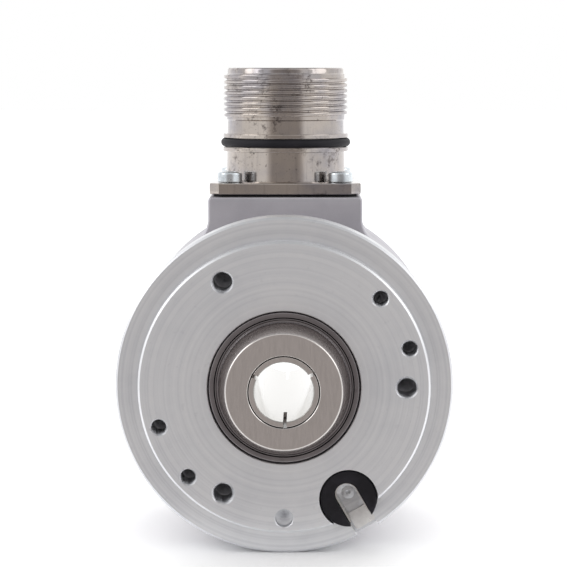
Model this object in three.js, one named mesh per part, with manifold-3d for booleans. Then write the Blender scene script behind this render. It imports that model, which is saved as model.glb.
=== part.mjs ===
// Hollow-shaft rotary encoder, 58 mm size, with a radial M23 connector.
// Units are millimetres. The shaft axis is Y, the front (flange) side looks along -Y,
// the connector points up along +Z, and the origin is on the shaft axis in the plane
// of the flange's mounting face.
import * as THREE from "three";
import { mergeVertices } from "three/addons/utils/BufferGeometryUtils.js";
import Module from "manifold-3d";

const wasm = await Module();
wasm.setup();

// ---- Driving dimensions -------------------------------------------------------

// Fits: the gap between fixed neighbours, and between a turning piece and a fixed one.
const FIT_GAP = 0.12;
const RUNNING_GAP = 0.3;
const ROUND = 32; // sides of every turned piece, so that neighbours' facets line up
const SMALL_ROUND = 10; // sides of a small hole or pin
const OVERSHOOT = 1; // how far a cutting tool runs past the face it cuts

// Front flange
const BODY_RADIUS = 29;
const FLANGE_LENGTH = 8;
const RIM_CHAMFER = 0.35;
const SPIGOT_STEP = 4; // the raised centring face is this much smaller in radius
const SPIGOT_LENGTH = 3;
const SPIGOT_CHAMFER = 0.35;
const LOCATING_LENGTH = 3; // the turned step that enters the housing

// Ball bearings (thin section, 17 x 26 x 5)
const BEARING_BORE_RADIUS = 8.5;
const BEARING_SECTION = 4.5; // radial height of the whole bearing
const BEARING_WIDTH = 5;
const BEARING_RING_WALL = 1; // thickness of the inner and the outer ring
const CARRIER_WALL = 3; // of the flange's tube that holds both bearings
const BEARING_RECESS = 0.4; // the front bearing sits this far behind the spigot face
const BEARING_SPACING = 14.6; // from the front bearing's face to the rear bearing's face
const BALL_COUNT = 11;

// Hollow shaft and its reducing sleeve
const SHAFT_BORE_RADIUS = 6.08;
const SLEEVE_WALL = 0.91;
const NOSE_LENGTH = 5.6; // how far the shaft nose stands in front of the spigot face
const NOSE_INSET = 1.8; // the nose's base is this much smaller in radius than the bearing
const NOSE_TAPER = 1.25; // and its front face is this much smaller again
const TAIL_LENGTH = 8.6; // how far the clamping tail stands behind the rear cover
const TAIL_STEP = 0.4; // the tail is this much smaller in radius than the journal
const SLOT_WIDTH = 0.6;
const SLOT_LENGTH = 12;
const SLOT_COUNT = 3;
const SLOT_ANGLE = 32; // degrees, of the first slot
const CLAMP_WALL = 7.2;
const CLAMP_SLIT = 1.4;

// Housing, rear cover and connector boss
const HOUSING_STEP = 0.7; // the housing is this much smaller in radius than the flange
const HOUSING_WALL = 2.8;
const HOUSING_LENGTH = 40;
const COVER_THICKNESS = 3.6;
const BOSS_MARGIN = 0.25; // the boss is this much wider than the connector's plate, on each side
const BOSS_END_GAP = 0.72; // from the boss to the housing's rear end
const BOSS_RISE = 2.35; // the boss's seat stands this far above the flange's radius
const BOSS_FILLET = 5;
const BOSS_CORNER = 0.7;

// Connector
const NECK_RADIUS = 10.65;
const PLATE_MARGIN = 2.9; // from the neck to the middle of the plate's side
const PLATE_THICKNESS = 2.05;
const PLATE_CHAMFER = 1.7;
const GASKET_THICKNESS = 0.3;
const GASKET_GAP = 0.05; // left on each side of the flat gasket
const GASKET_INSET = 0.7;
const LIP_STEP = 0.85; // the lips beside the O-ring stand this far outside the neck
const THREAD_STEP = 0.71; // and the thread's crest this far
const THREAD_DEPTH = 0.5;
const THREAD_PITCH = 1;
const THREAD_TURNS = 8;
const SHELL_WALL = 1.05; // at the neck
const LEDGE_WIDTH = 0.6; // of the ledge under the insert
const LOWER_NECK_HEIGHT = 5.35; // from the plate up to the lower O-ring lip
const LIP_HEIGHT = 0.78;
const O_RING_SECTION = 1.6;
const O_RING_STAND_OUT = 0.36; // how far the O-ring stands proud of its lips
const UPPER_NECK_HEIGHT = 2.55;
const LEAD_IN_HEIGHT = 1;
const PIN_RADIUS = 0.5;
const OUTER_PINS = 9;
const INNER_PINS = 3;
const PIN_TOP_DEPTH = 4.4; // the pins end this far below the shell's rim
const INSERT_DEPTH = 11; // and the insert's face lies this far below it
const SCREW_INSET = 3.6; // from the plate's sides to a screw's axis
const SCREW_HEAD_RADIUS = 2.19;
const SCREW_HEAD_LENGTH = 1.8;

// Torque element
const TORQUE_ANGLE = -60;
const TORQUE_INSET = 2.9; // its centre is this far inside the spigot's radius
const TORQUE_POCKET_RADIUS = 5.05;
const TORQUE_FLOOR_Y = 4;
const TORQUE_SLOT = 4.1;
const NOTCH_MARGIN = 0.1; // the rim's notch is this much wider than the slot, on each side
const CLIP_THICKNESS = 0.2;
const CLIP_RECESS = 1.5; // from the rubber's face down to the clip

// Electronics
const DISC_CLEARANCE = 0.72; // between the disc and the cover screws that pass it
const DISC_THICKNESS = 1.2;
const BOARD_THICKNESS = 1.6;
const SENSOR_ANGLE = 0;
const STANDOFF_RADIUS = 1.8;
const TIE_SCREW_RADIUS = 1.4;
const TIE_SCREW_WALL = 0.7; // between the cover screws and the seal's groove

// ---- Places worked out from the sizes -----------------------------------------

const spigotRadius = BODY_RADIUS - SPIGOT_STEP;
const spigotFaceY = -SPIGOT_LENGTH;
const bearingOuterRadius = BEARING_BORE_RADIUS + BEARING_SECTION;
const frontBearingY = spigotFaceY + BEARING_RECESS;
const rearBearingY = frontBearingY + BEARING_SPACING;
const flangeBackY = FLANGE_LENGTH + LOCATING_LENGTH;
const housingRadius = BODY_RADIUS - HOUSING_STEP;
const housingBoreRadius = housingRadius - HOUSING_WALL;
const locatingRadius = housingBoreRadius - FIT_GAP;
const housingStartY = FLANGE_LENGTH + FIT_GAP;
const housingEndY = housingStartY + HOUSING_LENGTH;
const coverEndY = housingEndY + FIT_GAP + COVER_THICKNESS;
const bossTopZ = BODY_RADIUS + BOSS_RISE;
const plateHalf = NECK_RADIUS + PLATE_MARGIN;
const bossHalf = plateHalf + BOSS_MARGIN;
const connectorY = housingEndY - BOSS_END_GAP - bossHalf;
const shellBoreRadius = NECK_RADIUS - SHELL_WALL;
const wireHoleRadius = shellBoreRadius - LEDGE_WIDTH;
const journalRadius = BEARING_BORE_RADIUS - FIT_GAP;
const noseFaceY = spigotFaceY - NOSE_LENGTH;
const tailEndY = coverEndY + TAIL_LENGTH;

// ---- Shape helpers ------------------------------------------------------------

const rad = THREE.MathUtils.degToRad;

/** A closed geometry as a solid that can be cut and joined. */
function solidOf(geometry) {
  const bare = geometry.index ? geometry.toNonIndexed() : geometry.clone();
  bare.deleteAttribute("normal");
  bare.deleteAttribute("uv");
  const merged = mergeVertices(bare, 1e-4);
  return new wasm.Manifold(
    new wasm.Mesh({
      numProp: 3,
      vertProperties: merged.attributes.position.array,
      triVerts: new Uint32Array(merged.index.array),
    }),
  );
}

/** A solid as a three.js geometry. */
function geometryOf(solid) {
  const mesh = solid.getMesh();
  const geometry = new THREE.BufferGeometry();
  geometry.setAttribute("position", new THREE.BufferAttribute(mesh.vertProperties, 3));
  geometry.setIndex(new THREE.BufferAttribute(mesh.triVerts, 1));
  return geometry;
}

function cut(base, ...tools) {
  return geometryOf(tools.reduce((solid, tool) => solid.subtract(solidOf(tool)), solidOf(base)));
}

function join(base, ...more) {
  return geometryOf(more.reduce((solid, piece) => solid.add(solidOf(piece)), solidOf(base)));
}

/** A closed profile of [radius, y] points, listed with rising y on the outside, turned about Y. */
function turned(profile, sides = ROUND) {
  const points = profile.map(([radius, y]) => new THREE.Vector2(radius, y));
  const onAxis = points[0].x === 0 && points[points.length - 1].x === 0;
  if (!onAxis) points.push(points[0].clone());
  return new THREE.LatheGeometry(points, sides);
}

/** A ring with a rectangular section, its edges broken by an optional chamfer. */
function ring(inner, outer, startY, endY, edge = 0, sides = ROUND) {
  if (edge === 0) {
    return turned([[inner, startY], [outer, startY], [outer, endY], [inner, endY]], sides);
  }
  return turned(
    [
      [inner + edge, startY],
      [outer - edge, startY],
      [outer, startY + edge],
      [outer, endY - edge],
      [outer - edge, endY],
      [inner + edge, endY],
      [inner, endY - edge],
      [inner, startY + edge],
    ],
    sides,
  );
}

/** A round bar along Y. */
function rod(radius, startY, endY, sides = SMALL_ROUND) {
  return turned([[0, startY], [radius, startY], [radius, endY], [0, endY]], sides);
}

/** Moves a geometry made about Y out to a radius and an angle in the X-Z plane. */
function around(geometry, radius, degrees) {
  return geometry.translate(radius, 0, 0).rotateY(-rad(degrees));
}

/** Stands a geometry made about Y upright, so that its +Y becomes +Z. */
function upright(geometry) {
  return geometry.rotateX(rad(90));
}

/** An outline in X-Z, extruded from startY to endY. */
function slab(outline, startY, endY) {
  const options = { depth: endY - startY, bevelEnabled: false, curveSegments: 8 };
  return new THREE.ExtrudeGeometry(outline, options).rotateX(rad(90)).translate(0, endY, 0);
}

function box(sizeX, sizeY, sizeZ, x, y, z) {
  return new THREE.BoxGeometry(sizeX, sizeY, sizeZ).translate(x, y, z);
}

/** A blind tapped hole with a drill-point bottom and a broken edge, opening towards -Y. */
function blindHole(radius, mouthY, depth, countersink) {
  return turned(
    [
      [0, mouthY - OVERSHOOT],
      [radius + countersink + OVERSHOOT, mouthY - OVERSHOOT],
      [radius, mouthY + countersink],
      [radius, mouthY + depth],
      [0, mouthY + depth + radius * 0.6],
    ],
    SMALL_ROUND,
  );
}

const model = new THREE.Group();

/** Adds one named piece with its own material. */
function addPiece(name, geometry, colour, metalness, roughness, parent = model) {
  const material = new THREE.MeshStandardMaterial({ color: colour, metalness, roughness });
  const mesh = new THREE.Mesh(geometry, material);
  mesh.name = name;
  parent.add(mesh);
  return mesh;
}

const aluminium = (name, geometry) => addPiece(name, geometry, 0xb6b6b8, 0.9, 0.45);
const satinAluminium = (name, geometry) => addPiece(name, geometry, 0x8e8e91, 0.8, 0.6);
const steel = (name, geometry) => addPiece(name, geometry, 0x9a938f, 1, 0.3);
const zincSteel = (name, geometry) => addPiece(name, geometry, 0xa2a8ac, 1, 0.35);
const blackRubber = (name, geometry) => addPiece(name, geometry, 0x232226, 0, 0.8);
const nickel = (name, geometry) => addPiece(name, geometry, 0xb4aea6, 1, 0.3);
const gold = (name, geometry) => addPiece(name, geometry, 0xc79a4a, 1, 0.3);
const darkPlastic = (name, geometry) => addPiece(name, geometry, 0x2c2d30, 0, 0.6);

// ---- Front flange ---------------------------------------------------------------
// Carries both bearings in a rearward tube; its raised face centres the encoder.

const carrierRadius = bearingOuterRadius + CARRIER_WALL;
const seatRadius = bearingOuterRadius + FIT_GAP;
const shoulderRadius = bearingOuterRadius - BEARING_RING_WALL;
const frontSeatEndY = frontBearingY + BEARING_WIDTH + FIT_GAP;
const rearSeatStartY = rearBearingY - FIT_GAP;
const washerY = rearBearingY + BEARING_WIDTH + FIT_GAP;
const washerThickness = 0.5;
const circlipY = washerY + washerThickness + 2 * FIT_GAP;
const circlipThickness = 1;
const circlipGroove = 0.6;
const circlipGap = 4;
const carrierLip = 1;
const carrierEndY = circlipY + circlipThickness + carrierLip;
const sealGrooveWidth = 1.6;
const sealSectionRadius = 0.62;
const sealGrooveY = FLANGE_LENGTH + 0.7;
const sealCentreRadius = housingBoreRadius - sealSectionRadius - FIT_GAP;
const sealGrooveRadius = sealCentreRadius - sealSectionRadius - FIT_GAP;

const tieScrewCircle = sealGrooveRadius - TIE_SCREW_RADIUS - TIE_SCREW_WALL;
const tieScrewAngles = [30, 150, 270];
const tieScrewDepth = 5;
const standoffCircle = housingBoreRadius - STANDOFF_RADIUS - 1.4;
const standoffAngles = [90, 210, 330];

const flangeBlank = turned([
  [seatRadius, spigotFaceY],
  [spigotRadius - SPIGOT_CHAMFER, spigotFaceY],
  [spigotRadius, spigotFaceY + SPIGOT_CHAMFER],
  [spigotRadius, 0],
  [BODY_RADIUS - RIM_CHAMFER, 0],
  [BODY_RADIUS, RIM_CHAMFER],
  [BODY_RADIUS, FLANGE_LENGTH - RIM_CHAMFER],
  [BODY_RADIUS - RIM_CHAMFER, FLANGE_LENGTH],
  [locatingRadius, FLANGE_LENGTH],
  [locatingRadius, sealGrooveY],
  [sealGrooveRadius, sealGrooveY],
  [sealGrooveRadius, sealGrooveY + sealGrooveWidth],
  [locatingRadius, sealGrooveY + sealGrooveWidth],
  [locatingRadius, flangeBackY],
  [carrierRadius, flangeBackY],
  [carrierRadius, carrierEndY],
  [seatRadius, carrierEndY],
  [seatRadius, circlipY + circlipThickness + FIT_GAP],
  [seatRadius + circlipGroove, circlipY + circlipThickness + FIT_GAP],
  [seatRadius + circlipGroove, circlipY - FIT_GAP],
  [seatRadius, circlipY - FIT_GAP],
  [seatRadius, rearSeatStartY],
  [shoulderRadius, rearSeatStartY],
  [shoulderRadius, frontSeatEndY],
  [seatRadius, frontSeatEndY],
]);

// Blind holes in the front face: three M4, four M3 and one shallow pin hole.
const m4Circle = spigotRadius - 4;
const m3Circle = spigotRadius - 2.5;
const holeGroups = [
  { radius: 1.7, depth: 8, edge: 0.25, circle: m4Circle, angles: [0, 120, 240] },
  { radius: 1.32, depth: 7, edge: 0.2, circle: m3Circle, angles: [17.5, 43, 197.5, 223] },
  { radius: 1.5, depth: 2.2, edge: 0.15, circle: m3Circle, angles: [-90] },
];
const frontHoles = holeGroups.flatMap(({ radius, depth, edge, circle, angles }) =>
  angles.map((angle) => around(blindHole(radius, spigotFaceY, depth, edge), circle, angle)),
);

const tieScrewHoles = tieScrewAngles.map((angle) =>
  around(
    rod(TIE_SCREW_RADIUS + FIT_GAP, flangeBackY - tieScrewDepth, flangeBackY + OVERSHOOT),
    tieScrewCircle,
    angle,
  ),
);

const torqueCircle = spigotRadius - TORQUE_INSET;
const torquePocket = around(
  rod(TORQUE_POCKET_RADIUS, spigotFaceY - OVERSHOOT, TORQUE_FLOOR_Y, 32),
  torqueCircle,
  TORQUE_ANGLE,
);
const notchWidth = TORQUE_SLOT + 2 * NOTCH_MARGIN;
const notchLength = BODY_RADIUS - torqueCircle + OVERSHOOT;
const notchDepth = TORQUE_FLOOR_Y - spigotFaceY + OVERSHOOT;
const rimNotch = around(
  box(notchLength, notchDepth, notchWidth, notchLength / 2, TORQUE_FLOOR_Y - notchDepth / 2, 0),
  torqueCircle,
  TORQUE_ANGLE,
);

aluminium(
  "front_flange",
  cut(flangeBlank, ...frontHoles, ...tieScrewHoles, torquePocket, rimNotch),
);

blackRubber(
  "housing_seal",
  turned(
    Array.from({ length: 6 }, (_, i) => {
      const angle = rad(i * 60 - 90);
      return [
        sealCentreRadius + sealSectionRadius * Math.cos(angle),
        sealGrooveY + sealGrooveWidth / 2 + sealSectionRadius * Math.sin(angle),
      ];
    }),
  ),
);

// ---- Torque element: a rubber block with a sheet-steel clip for the machine's pin ----

const rubberRadius = TORQUE_POCKET_RADIUS - 0.2;
const rubberFaceY = spigotFaceY + 0.3;
const rubberEdge = 0.25;
const rubberBackY = TORQUE_FLOOR_Y - FIT_GAP;
const slotHalf = TORQUE_SLOT / 2;
const slotCentre = -0.7; // where the slot's round end is centred, towards the shaft
const slotReach = TORQUE_POCKET_RADIUS + OVERSHOOT;

/** A slot open towards +X with a round inner end, as an outline in X-Z. */
function slotOutline(halfWidth, endX) {
  const outline = new THREE.Shape();
  outline.moveTo(endX, halfWidth);
  outline.lineTo(slotCentre, halfWidth);
  outline.absarc(slotCentre, 0, halfWidth, rad(90), rad(270), false);
  outline.lineTo(endX, -halfWidth);
  return outline;
}

const rubberBlank = turned(
  [
    [0, rubberFaceY],
    [rubberRadius - rubberEdge, rubberFaceY],
    [rubberRadius, rubberFaceY + rubberEdge],
    [rubberRadius, rubberBackY],
    [0, rubberBackY],
  ],
  32,
);
const rubberSlot = slab(
  slotOutline(slotHalf, slotReach),
  rubberFaceY - OVERSHOOT,
  rubberBackY + OVERSHOOT,
);
blackRubber(
  "torque_rubber",
  around(cut(rubberBlank, rubberSlot), torqueCircle, TORQUE_ANGLE),
);

const clipOuter = slotHalf - FIT_GAP;
const clipInner = clipOuter - CLIP_THICKNESS;
const clipLegEnd = 3.9;
const clipFootStart = 3.2;
const clipFootEnd = BODY_RADIUS - torqueCircle - 0.5;
const clipWall = slab(slotOutline(clipOuter, clipLegEnd), rubberFaceY + CLIP_RECESS, rubberBackY);
const clipHollow = slab(
  slotOutline(clipInner, clipLegEnd + OVERSHOOT),
  rubberFaceY - OVERSHOOT,
  rubberBackY + OVERSHOOT,
);
const clipFoot = box(
  clipFootEnd - clipFootStart,
  CLIP_THICKNESS,
  2 * clipOuter,
  (clipFootStart + clipFootEnd) / 2,
  rubberBackY - CLIP_THICKNESS / 2,
  0,
);
steel(
  "torque_clip",
  around(join(cut(clipWall, clipHollow), clipFoot), torqueCircle, TORQUE_ANGLE),
);

// ---- Ball bearings ---------------------------------------------------------------

const innerRaceRadius = BEARING_BORE_RADIUS + BEARING_RING_WALL;
const outerRaceRadius = bearingOuterRadius - BEARING_RING_WALL;
const ballCircle = (innerRaceRadius + outerRaceRadius) / 2;
const ballRadius = (outerRaceRadius - innerRaceRadius) / 2 - 0.2;
const cageHalfWidth = 1.3;
const cageHalfWall = 0.35;
const shieldThickness = 0.3;
const shieldInset = 0.15;

/** Outer ring, inner ring, and the cage with its balls, of one bearing starting at startY. */
function addBearing(prefix, startY) {
  const endY = startY + BEARING_WIDTH;
  const middleY = (startY + endY) / 2;
  steel(
    prefix + "_bearing_outer_ring",
    ring(outerRaceRadius, bearingOuterRadius, startY, endY),
  );
  steel(
    prefix + "_bearing_inner_ring",
    ring(BEARING_BORE_RADIUS, innerRaceRadius, startY, endY),
  );
  const cage = ring(
    ballCircle - cageHalfWall,
    ballCircle + cageHalfWall,
    middleY - cageHalfWidth,
    middleY + cageHalfWidth,
  );
  const balls = Array.from({ length: BALL_COUNT }, (_, i) =>
    around(
      new THREE.SphereGeometry(ballRadius, 6, 3).translate(0, middleY, 0),
      ballCircle,
      (i * 360) / BALL_COUNT,
    ),
  );
  steel(prefix + "_ball_cage", join(cage, ...balls));
}

/** The pressed-steel shield that closes one side of a bearing. */
function addShield(name, startY) {
  steel(
    name,
    ring(
      innerRaceRadius + RUNNING_GAP,
      outerRaceRadius - FIT_GAP,
      startY,
      startY + shieldThickness,
    ),
  );
}

addBearing("front", frontBearingY);
addBearing("rear", rearBearingY);
addShield("front_bearing_shield", frontBearingY + shieldInset);
addShield("rear_bearing_shield", rearBearingY + BEARING_WIDTH - shieldInset - shieldThickness);

steel(
  "preload_washer",
  ring(shoulderRadius, bearingOuterRadius, washerY, washerY + washerThickness),
);

// The circlip's gap faces up.
const circlipRing = ring(
  shoulderRadius,
  seatRadius + circlipGroove - FIT_GAP,
  circlipY,
  circlipY + circlipThickness,
);
const circlipOpening = box(
  circlipGap,
  circlipThickness + 2 * OVERSHOOT,
  circlipGap,
  0,
  circlipY + circlipThickness / 2,
  bearingOuterRadius,
);
steel("bearing_circlip", cut(circlipRing, circlipOpening));

steel(
  "bearing_spacer",
  ring(
    BEARING_BORE_RADIUS,
    innerRaceRadius - FIT_GAP,
    frontBearingY + BEARING_WIDTH + FIT_GAP,
    rearBearingY - FIT_GAP,
  ),
);

// ---- Hollow shaft, reducing sleeve and rear clamp ring ------------------------------

const noseBackY = frontBearingY - RUNNING_GAP - FIT_GAP;
const noseShoulderRadius = innerRaceRadius - 0.1;
const tailRadius = journalRadius - TAIL_STEP;
const tailStartY = coverEndY + RUNNING_GAP;
const tailSlotWidth = 1;
const tailSlotInset = 0.5;
const noseEdge = 0.15;
const noseCollar = 0.5; // the straight part behind the taper
const noseBaseRadius = bearingOuterRadius - NOSE_INSET;
const noseFaceRadius = noseBaseRadius - NOSE_TAPER;

const shaftBlank = turned([
  [SHAFT_BORE_RADIUS, noseFaceY],
  [noseFaceRadius - noseEdge, noseFaceY],
  [noseFaceRadius, noseFaceY + noseEdge],
  [noseBaseRadius, noseBackY - noseCollar],
  [noseBaseRadius, noseBackY],
  [noseShoulderRadius, noseBackY],
  [noseShoulderRadius, frontBearingY - FIT_GAP],
  [journalRadius, frontBearingY - FIT_GAP],
  [journalRadius, tailStartY],
  [tailRadius, tailStartY],
  [tailRadius, tailEndY],
  [SHAFT_BORE_RADIUS, tailEndY],
]);

/** Radial slots through a tube's wall, from startY to endY. */
function wallSlots(outerRadius, width, startY, endY) {
  return Array.from({ length: SLOT_COUNT }, (_, i) =>
    around(
      box(outerRadius + OVERSHOOT, endY - startY, width, 0, (startY + endY) / 2, 0),
      (outerRadius + OVERSHOOT) / 2,
      SLOT_ANGLE + (i * 360) / SLOT_COUNT,
    ),
  );
}

steel(
  "hollow_shaft",
  cut(
    shaftBlank,
    ...wallSlots(tailRadius, tailSlotWidth, tailStartY + tailSlotInset, tailEndY + OVERSHOOT),
  ),
);

const sleeveRadius = SHAFT_BORE_RADIUS - FIT_GAP;
const sleeveFaceY = noseFaceY + 0.1;
const sleeveBlank = ring(sleeveRadius - SLEEVE_WALL, sleeveRadius, sleeveFaceY, tailEndY);
steel(
  "reducing_sleeve",
  cut(
    sleeveBlank,
    ...wallSlots(sleeveRadius, SLOT_WIDTH, sleeveFaceY - OVERSHOOT, sleeveFaceY + SLOT_LENGTH),
    ...wallSlots(sleeveRadius, SLOT_WIDTH, tailEndY - SLOT_LENGTH, tailEndY + OVERSHOOT),
  ),
);

const clampInnerRadius = tailRadius + FIT_GAP;
const clampOuterRadius = clampInnerRadius + CLAMP_WALL;
const clampStartY = tailStartY + 0.7;
const clampEndY = tailEndY - 0.4;
const clampMiddleY = (clampStartY + clampEndY) / 2;
const clampScrewRadius = 1.5;
const clampHeadRadius = 2.6;
const clampEdge = 0.4;
const clampHeadLength = 3;
const clampScrewZ = clampInnerRadius + CLAMP_WALL / 2;
const clampHeadX = 4.4;
const clampShankEndX = -6.5;

/** A round bar along X. */
function crossRod(radius, startX, endX, y, z) {
  return rod(radius, startX, endX).rotateZ(-rad(90)).translate(0, y, z);
}

aluminium(
  "clamp_ring",
  cut(
    ring(clampInnerRadius, clampOuterRadius, clampStartY, clampEndY, clampEdge),
    box(
      CLAMP_SLIT,
      clampEndY - clampStartY + 2 * OVERSHOOT,
      clampOuterRadius,
      0,
      clampMiddleY,
      clampOuterRadius * 0.8,
    ),
    crossRod(clampScrewRadius + FIT_GAP, clampShankEndX - 1, clampHeadX, clampMiddleY, clampScrewZ),
    crossRod(
      clampHeadRadius + FIT_GAP,
      clampHeadX - FIT_GAP,
      clampOuterRadius,
      clampMiddleY,
      clampScrewZ,
    ),
  ),
);

/** A hexagon-socket screw about Y: the shank starts at shankY and the head spans headY to topY. */
function socketScrew(shankRadius, headRadius, shankY, headY, topY) {
  const edge = 0.3;
  const body = turned(
    [
      [0, shankY],
      [shankRadius, shankY],
      [shankRadius, headY],
      [headRadius, headY],
      [headRadius, topY - edge],
      [headRadius - edge, topY],
      [0, topY],
    ],
    SMALL_ROUND,
  );
  const socketStart = topY - (topY - headY) * 0.55;
  return cut(body, rod(headRadius * 0.55, socketStart, topY + OVERSHOOT, 6));
}

zincSteel(
  "clamp_screw",
  socketScrew(
    clampScrewRadius,
    clampHeadRadius,
    clampShankEndX,
    clampHeadX,
    clampHeadX + clampHeadLength,
  )
    .rotateZ(-rad(90))
    .translate(0, clampMiddleY, clampScrewZ),
);

// ---- Housing with its connector boss ----------------------------------------------------

const bossStartY = connectorY - bossHalf;
const bossEndY = connectorY + bossHalf;
const filletX = bossHalf + BOSS_FILLET;
const filletZ = Math.sqrt((housingRadius + BOSS_FILLET) ** 2 - filletX ** 2);
const filletEndAngle = Math.atan2(filletZ, filletX) + Math.PI;
const bossFootZ = filletZ * 0.6;

const bossOutline = new THREE.Shape();
bossOutline.moveTo(-bossHalf, bossFootZ);
bossOutline.lineTo(bossHalf, bossFootZ);
bossOutline.lineTo(
  filletX + BOSS_FILLET * Math.cos(filletEndAngle) - 1,
  filletZ + BOSS_FILLET * Math.sin(filletEndAngle) - 1,
);
bossOutline.absarc(filletX, filletZ, BOSS_FILLET, filletEndAngle, Math.PI, true);
bossOutline.absarc(bossHalf - BOSS_CORNER, bossTopZ - BOSS_CORNER, BOSS_CORNER, 0, rad(90), false);
bossOutline.absarc(
  BOSS_CORNER - bossHalf,
  bossTopZ - BOSS_CORNER,
  BOSS_CORNER,
  rad(90),
  rad(180),
  false,
);
bossOutline.absarc(-filletX, filletZ, BOSS_FILLET, 0, Math.PI - filletEndAngle, true);
bossOutline.lineTo(
  -filletX - BOSS_FILLET * Math.cos(filletEndAngle) + 1,
  filletZ + BOSS_FILLET * Math.sin(filletEndAngle) - 1,
);

/** Places a geometry made about Y on the connector's upright axis. */
function onConnector(geometry, x = 0, y = 0) {
  return upright(geometry).translate(x, connectorY + y, 0);
}

const screwHalf = plateHalf - SCREW_INSET;
const screwPlaces = [
  [-screwHalf, -screwHalf],
  [screwHalf, -screwHalf],
  [screwHalf, screwHalf],
  [-screwHalf, screwHalf],
];
const flangeScrewRadius = 1.15;
const flangeScrewDepth = 4.6;
const boreEdge = 0.4;

const housingTube = turned([
  [0, housingStartY],
  [housingRadius - boreEdge, housingStartY],
  [housingRadius, housingStartY + boreEdge],
  [housingRadius, housingEndY - boreEdge],
  [housingRadius - boreEdge, housingEndY],
  [0, housingEndY],
]);
const housingCavity = rod(
  housingBoreRadius,
  housingStartY - OVERSHOOT,
  housingEndY + OVERSHOOT,
  ROUND,
);
satinAluminium(
  "housing",
  cut(
    join(housingTube, slab(bossOutline, bossStartY, bossEndY)),
    housingCavity,
    onConnector(rod(wireHoleRadius, 0, bossTopZ + OVERSHOOT, 32)),
    ...screwPlaces.map(([x, y]) =>
      onConnector(
        rod(
          flangeScrewRadius + FIT_GAP,
          bossTopZ - flangeScrewDepth - FIT_GAP,
          bossTopZ + OVERSHOOT,
        ),
        x,
        y,
      ),
    ),
  ),
);

// ---- Rear cover, its screws and the rear shaft seal ---------------------------------------

const coverStartY = housingEndY + FIT_GAP;
const coverLipLength = 2;
const coverEdge = 0.8;
const coverHoleRadius = journalRadius + RUNNING_GAP + 0.5;
const sealWall = 2.4;
const sealOuterRadius = coverHoleRadius + sealWall;
const sealStartY = coverStartY - coverLipLength + 0.4;
const sealEndY = coverEndY - 1.2;
const tieHeadRadius = TIE_SCREW_RADIUS + 1.1;
const tieHeadLength = 2.4;
const tieHeadY = coverEndY - tieHeadLength - 0.1;

const coverBlank = turned([
  [coverHoleRadius, coverStartY - coverLipLength],
  [locatingRadius, coverStartY - coverLipLength],
  [locatingRadius, coverStartY],
  [housingRadius, coverStartY],
  [housingRadius, coverEndY - coverEdge],
  [housingRadius - coverEdge, coverEndY],
  [coverHoleRadius, coverEndY],
]);
satinAluminium(
  "rear_cover",
  cut(
    coverBlank,
    rod(sealOuterRadius + FIT_GAP, coverStartY - coverLipLength - OVERSHOOT, sealEndY, ROUND),
    ...tieScrewAngles.flatMap((angle) => [
      around(
        rod(
          TIE_SCREW_RADIUS + FIT_GAP,
          coverStartY - coverLipLength - OVERSHOOT,
          coverEndY + OVERSHOOT,
        ),
        tieScrewCircle,
        angle,
      ),
      around(
        rod(tieHeadRadius + FIT_GAP, tieHeadY - FIT_GAP, coverEndY + OVERSHOOT),
        tieScrewCircle,
        angle,
      ),
    ]),
  ),
);

tieScrewAngles.forEach((angle, i) => {
  zincSteel(
    "cover_screw_" + (i + 1),
    around(
      socketScrew(
        TIE_SCREW_RADIUS,
        tieHeadRadius,
        flangeBackY - tieScrewDepth + 0.5,
        tieHeadY,
        tieHeadY + tieHeadLength,
      ),
      tieScrewCircle,
      angle,
    ),
  );
});

blackRubber(
  "rear_shaft_seal",
  ring(journalRadius + RUNNING_GAP, sealOuterRadius, sealStartY, sealEndY - FIT_GAP),
);

// ---- Code disc on the shaft ------------------------------------------------------------

const hubStartY = carrierEndY + 0.7;
const hubBoreRadius = BEARING_BORE_RADIUS;
const hubSpigotRadius = hubBoreRadius + 1.2;
const discRadius = tieScrewCircle - TIE_SCREW_RADIUS - DISC_CLEARANCE;
const trackRadius = discRadius - 2.2;
const hubFlangeRadius = trackRadius - 3.9;
const hubFaceY = hubStartY + 3.6;
const hubFlangeThickness = 1.2;
const hubNeckRadius = hubSpigotRadius + 1.6;
const discY = hubFaceY + FIT_GAP;
const discEndY = discY + DISC_THICKNESS;
const clampingRingY = discEndY + FIT_GAP;
const clampingRingThickness = 1.2;
const hubEndY = clampingRingY + clampingRingThickness;

aluminium(
  "disc_hub",
  turned([
    [hubBoreRadius, hubStartY],
    [hubNeckRadius, hubStartY],
    [hubNeckRadius, hubFaceY - hubFlangeThickness],
    [hubFlangeRadius, hubFaceY - hubFlangeThickness],
    [hubFlangeRadius, hubFaceY],
    [hubSpigotRadius, hubFaceY],
    [hubSpigotRadius, hubEndY],
    [hubBoreRadius, hubEndY],
  ]),
);
addPiece(
  "code_disc",
  ring(hubSpigotRadius + FIT_GAP, discRadius, discY, discEndY),
  0xcfd8d8,
  0,
  0.1,
);
aluminium(
  "disc_clamping_ring",
  ring(hubSpigotRadius + FIT_GAP, hubFlangeRadius - 0.4, clampingRingY, hubEndY),
);

// ---- Scanning parts and circuit board ------------------------------------------------------

const reticleY = Math.max(discEndY + 0.6, hubEndY - 0.6);
const reticleThickness = 0.7;
const reticleDepth = 5.2;
const reticleWidth = 8;
const scannedRadius = trackRadius - 0.2;
const chipY = reticleY + reticleThickness + FIT_GAP;
const chipThickness = 1.6;
const chipDepth = 6.4;
const chipWidth = 7.4;
const boardY = Math.max(chipY + chipThickness, hubEndY + 0.8) + FIT_GAP;
const boardEndY = boardY + BOARD_THICKNESS;
const boardHoleRadius = journalRadius + 3;
const boardRadius = housingBoreRadius - 0.6;
const boardScrewRadius = 1.05;

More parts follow.
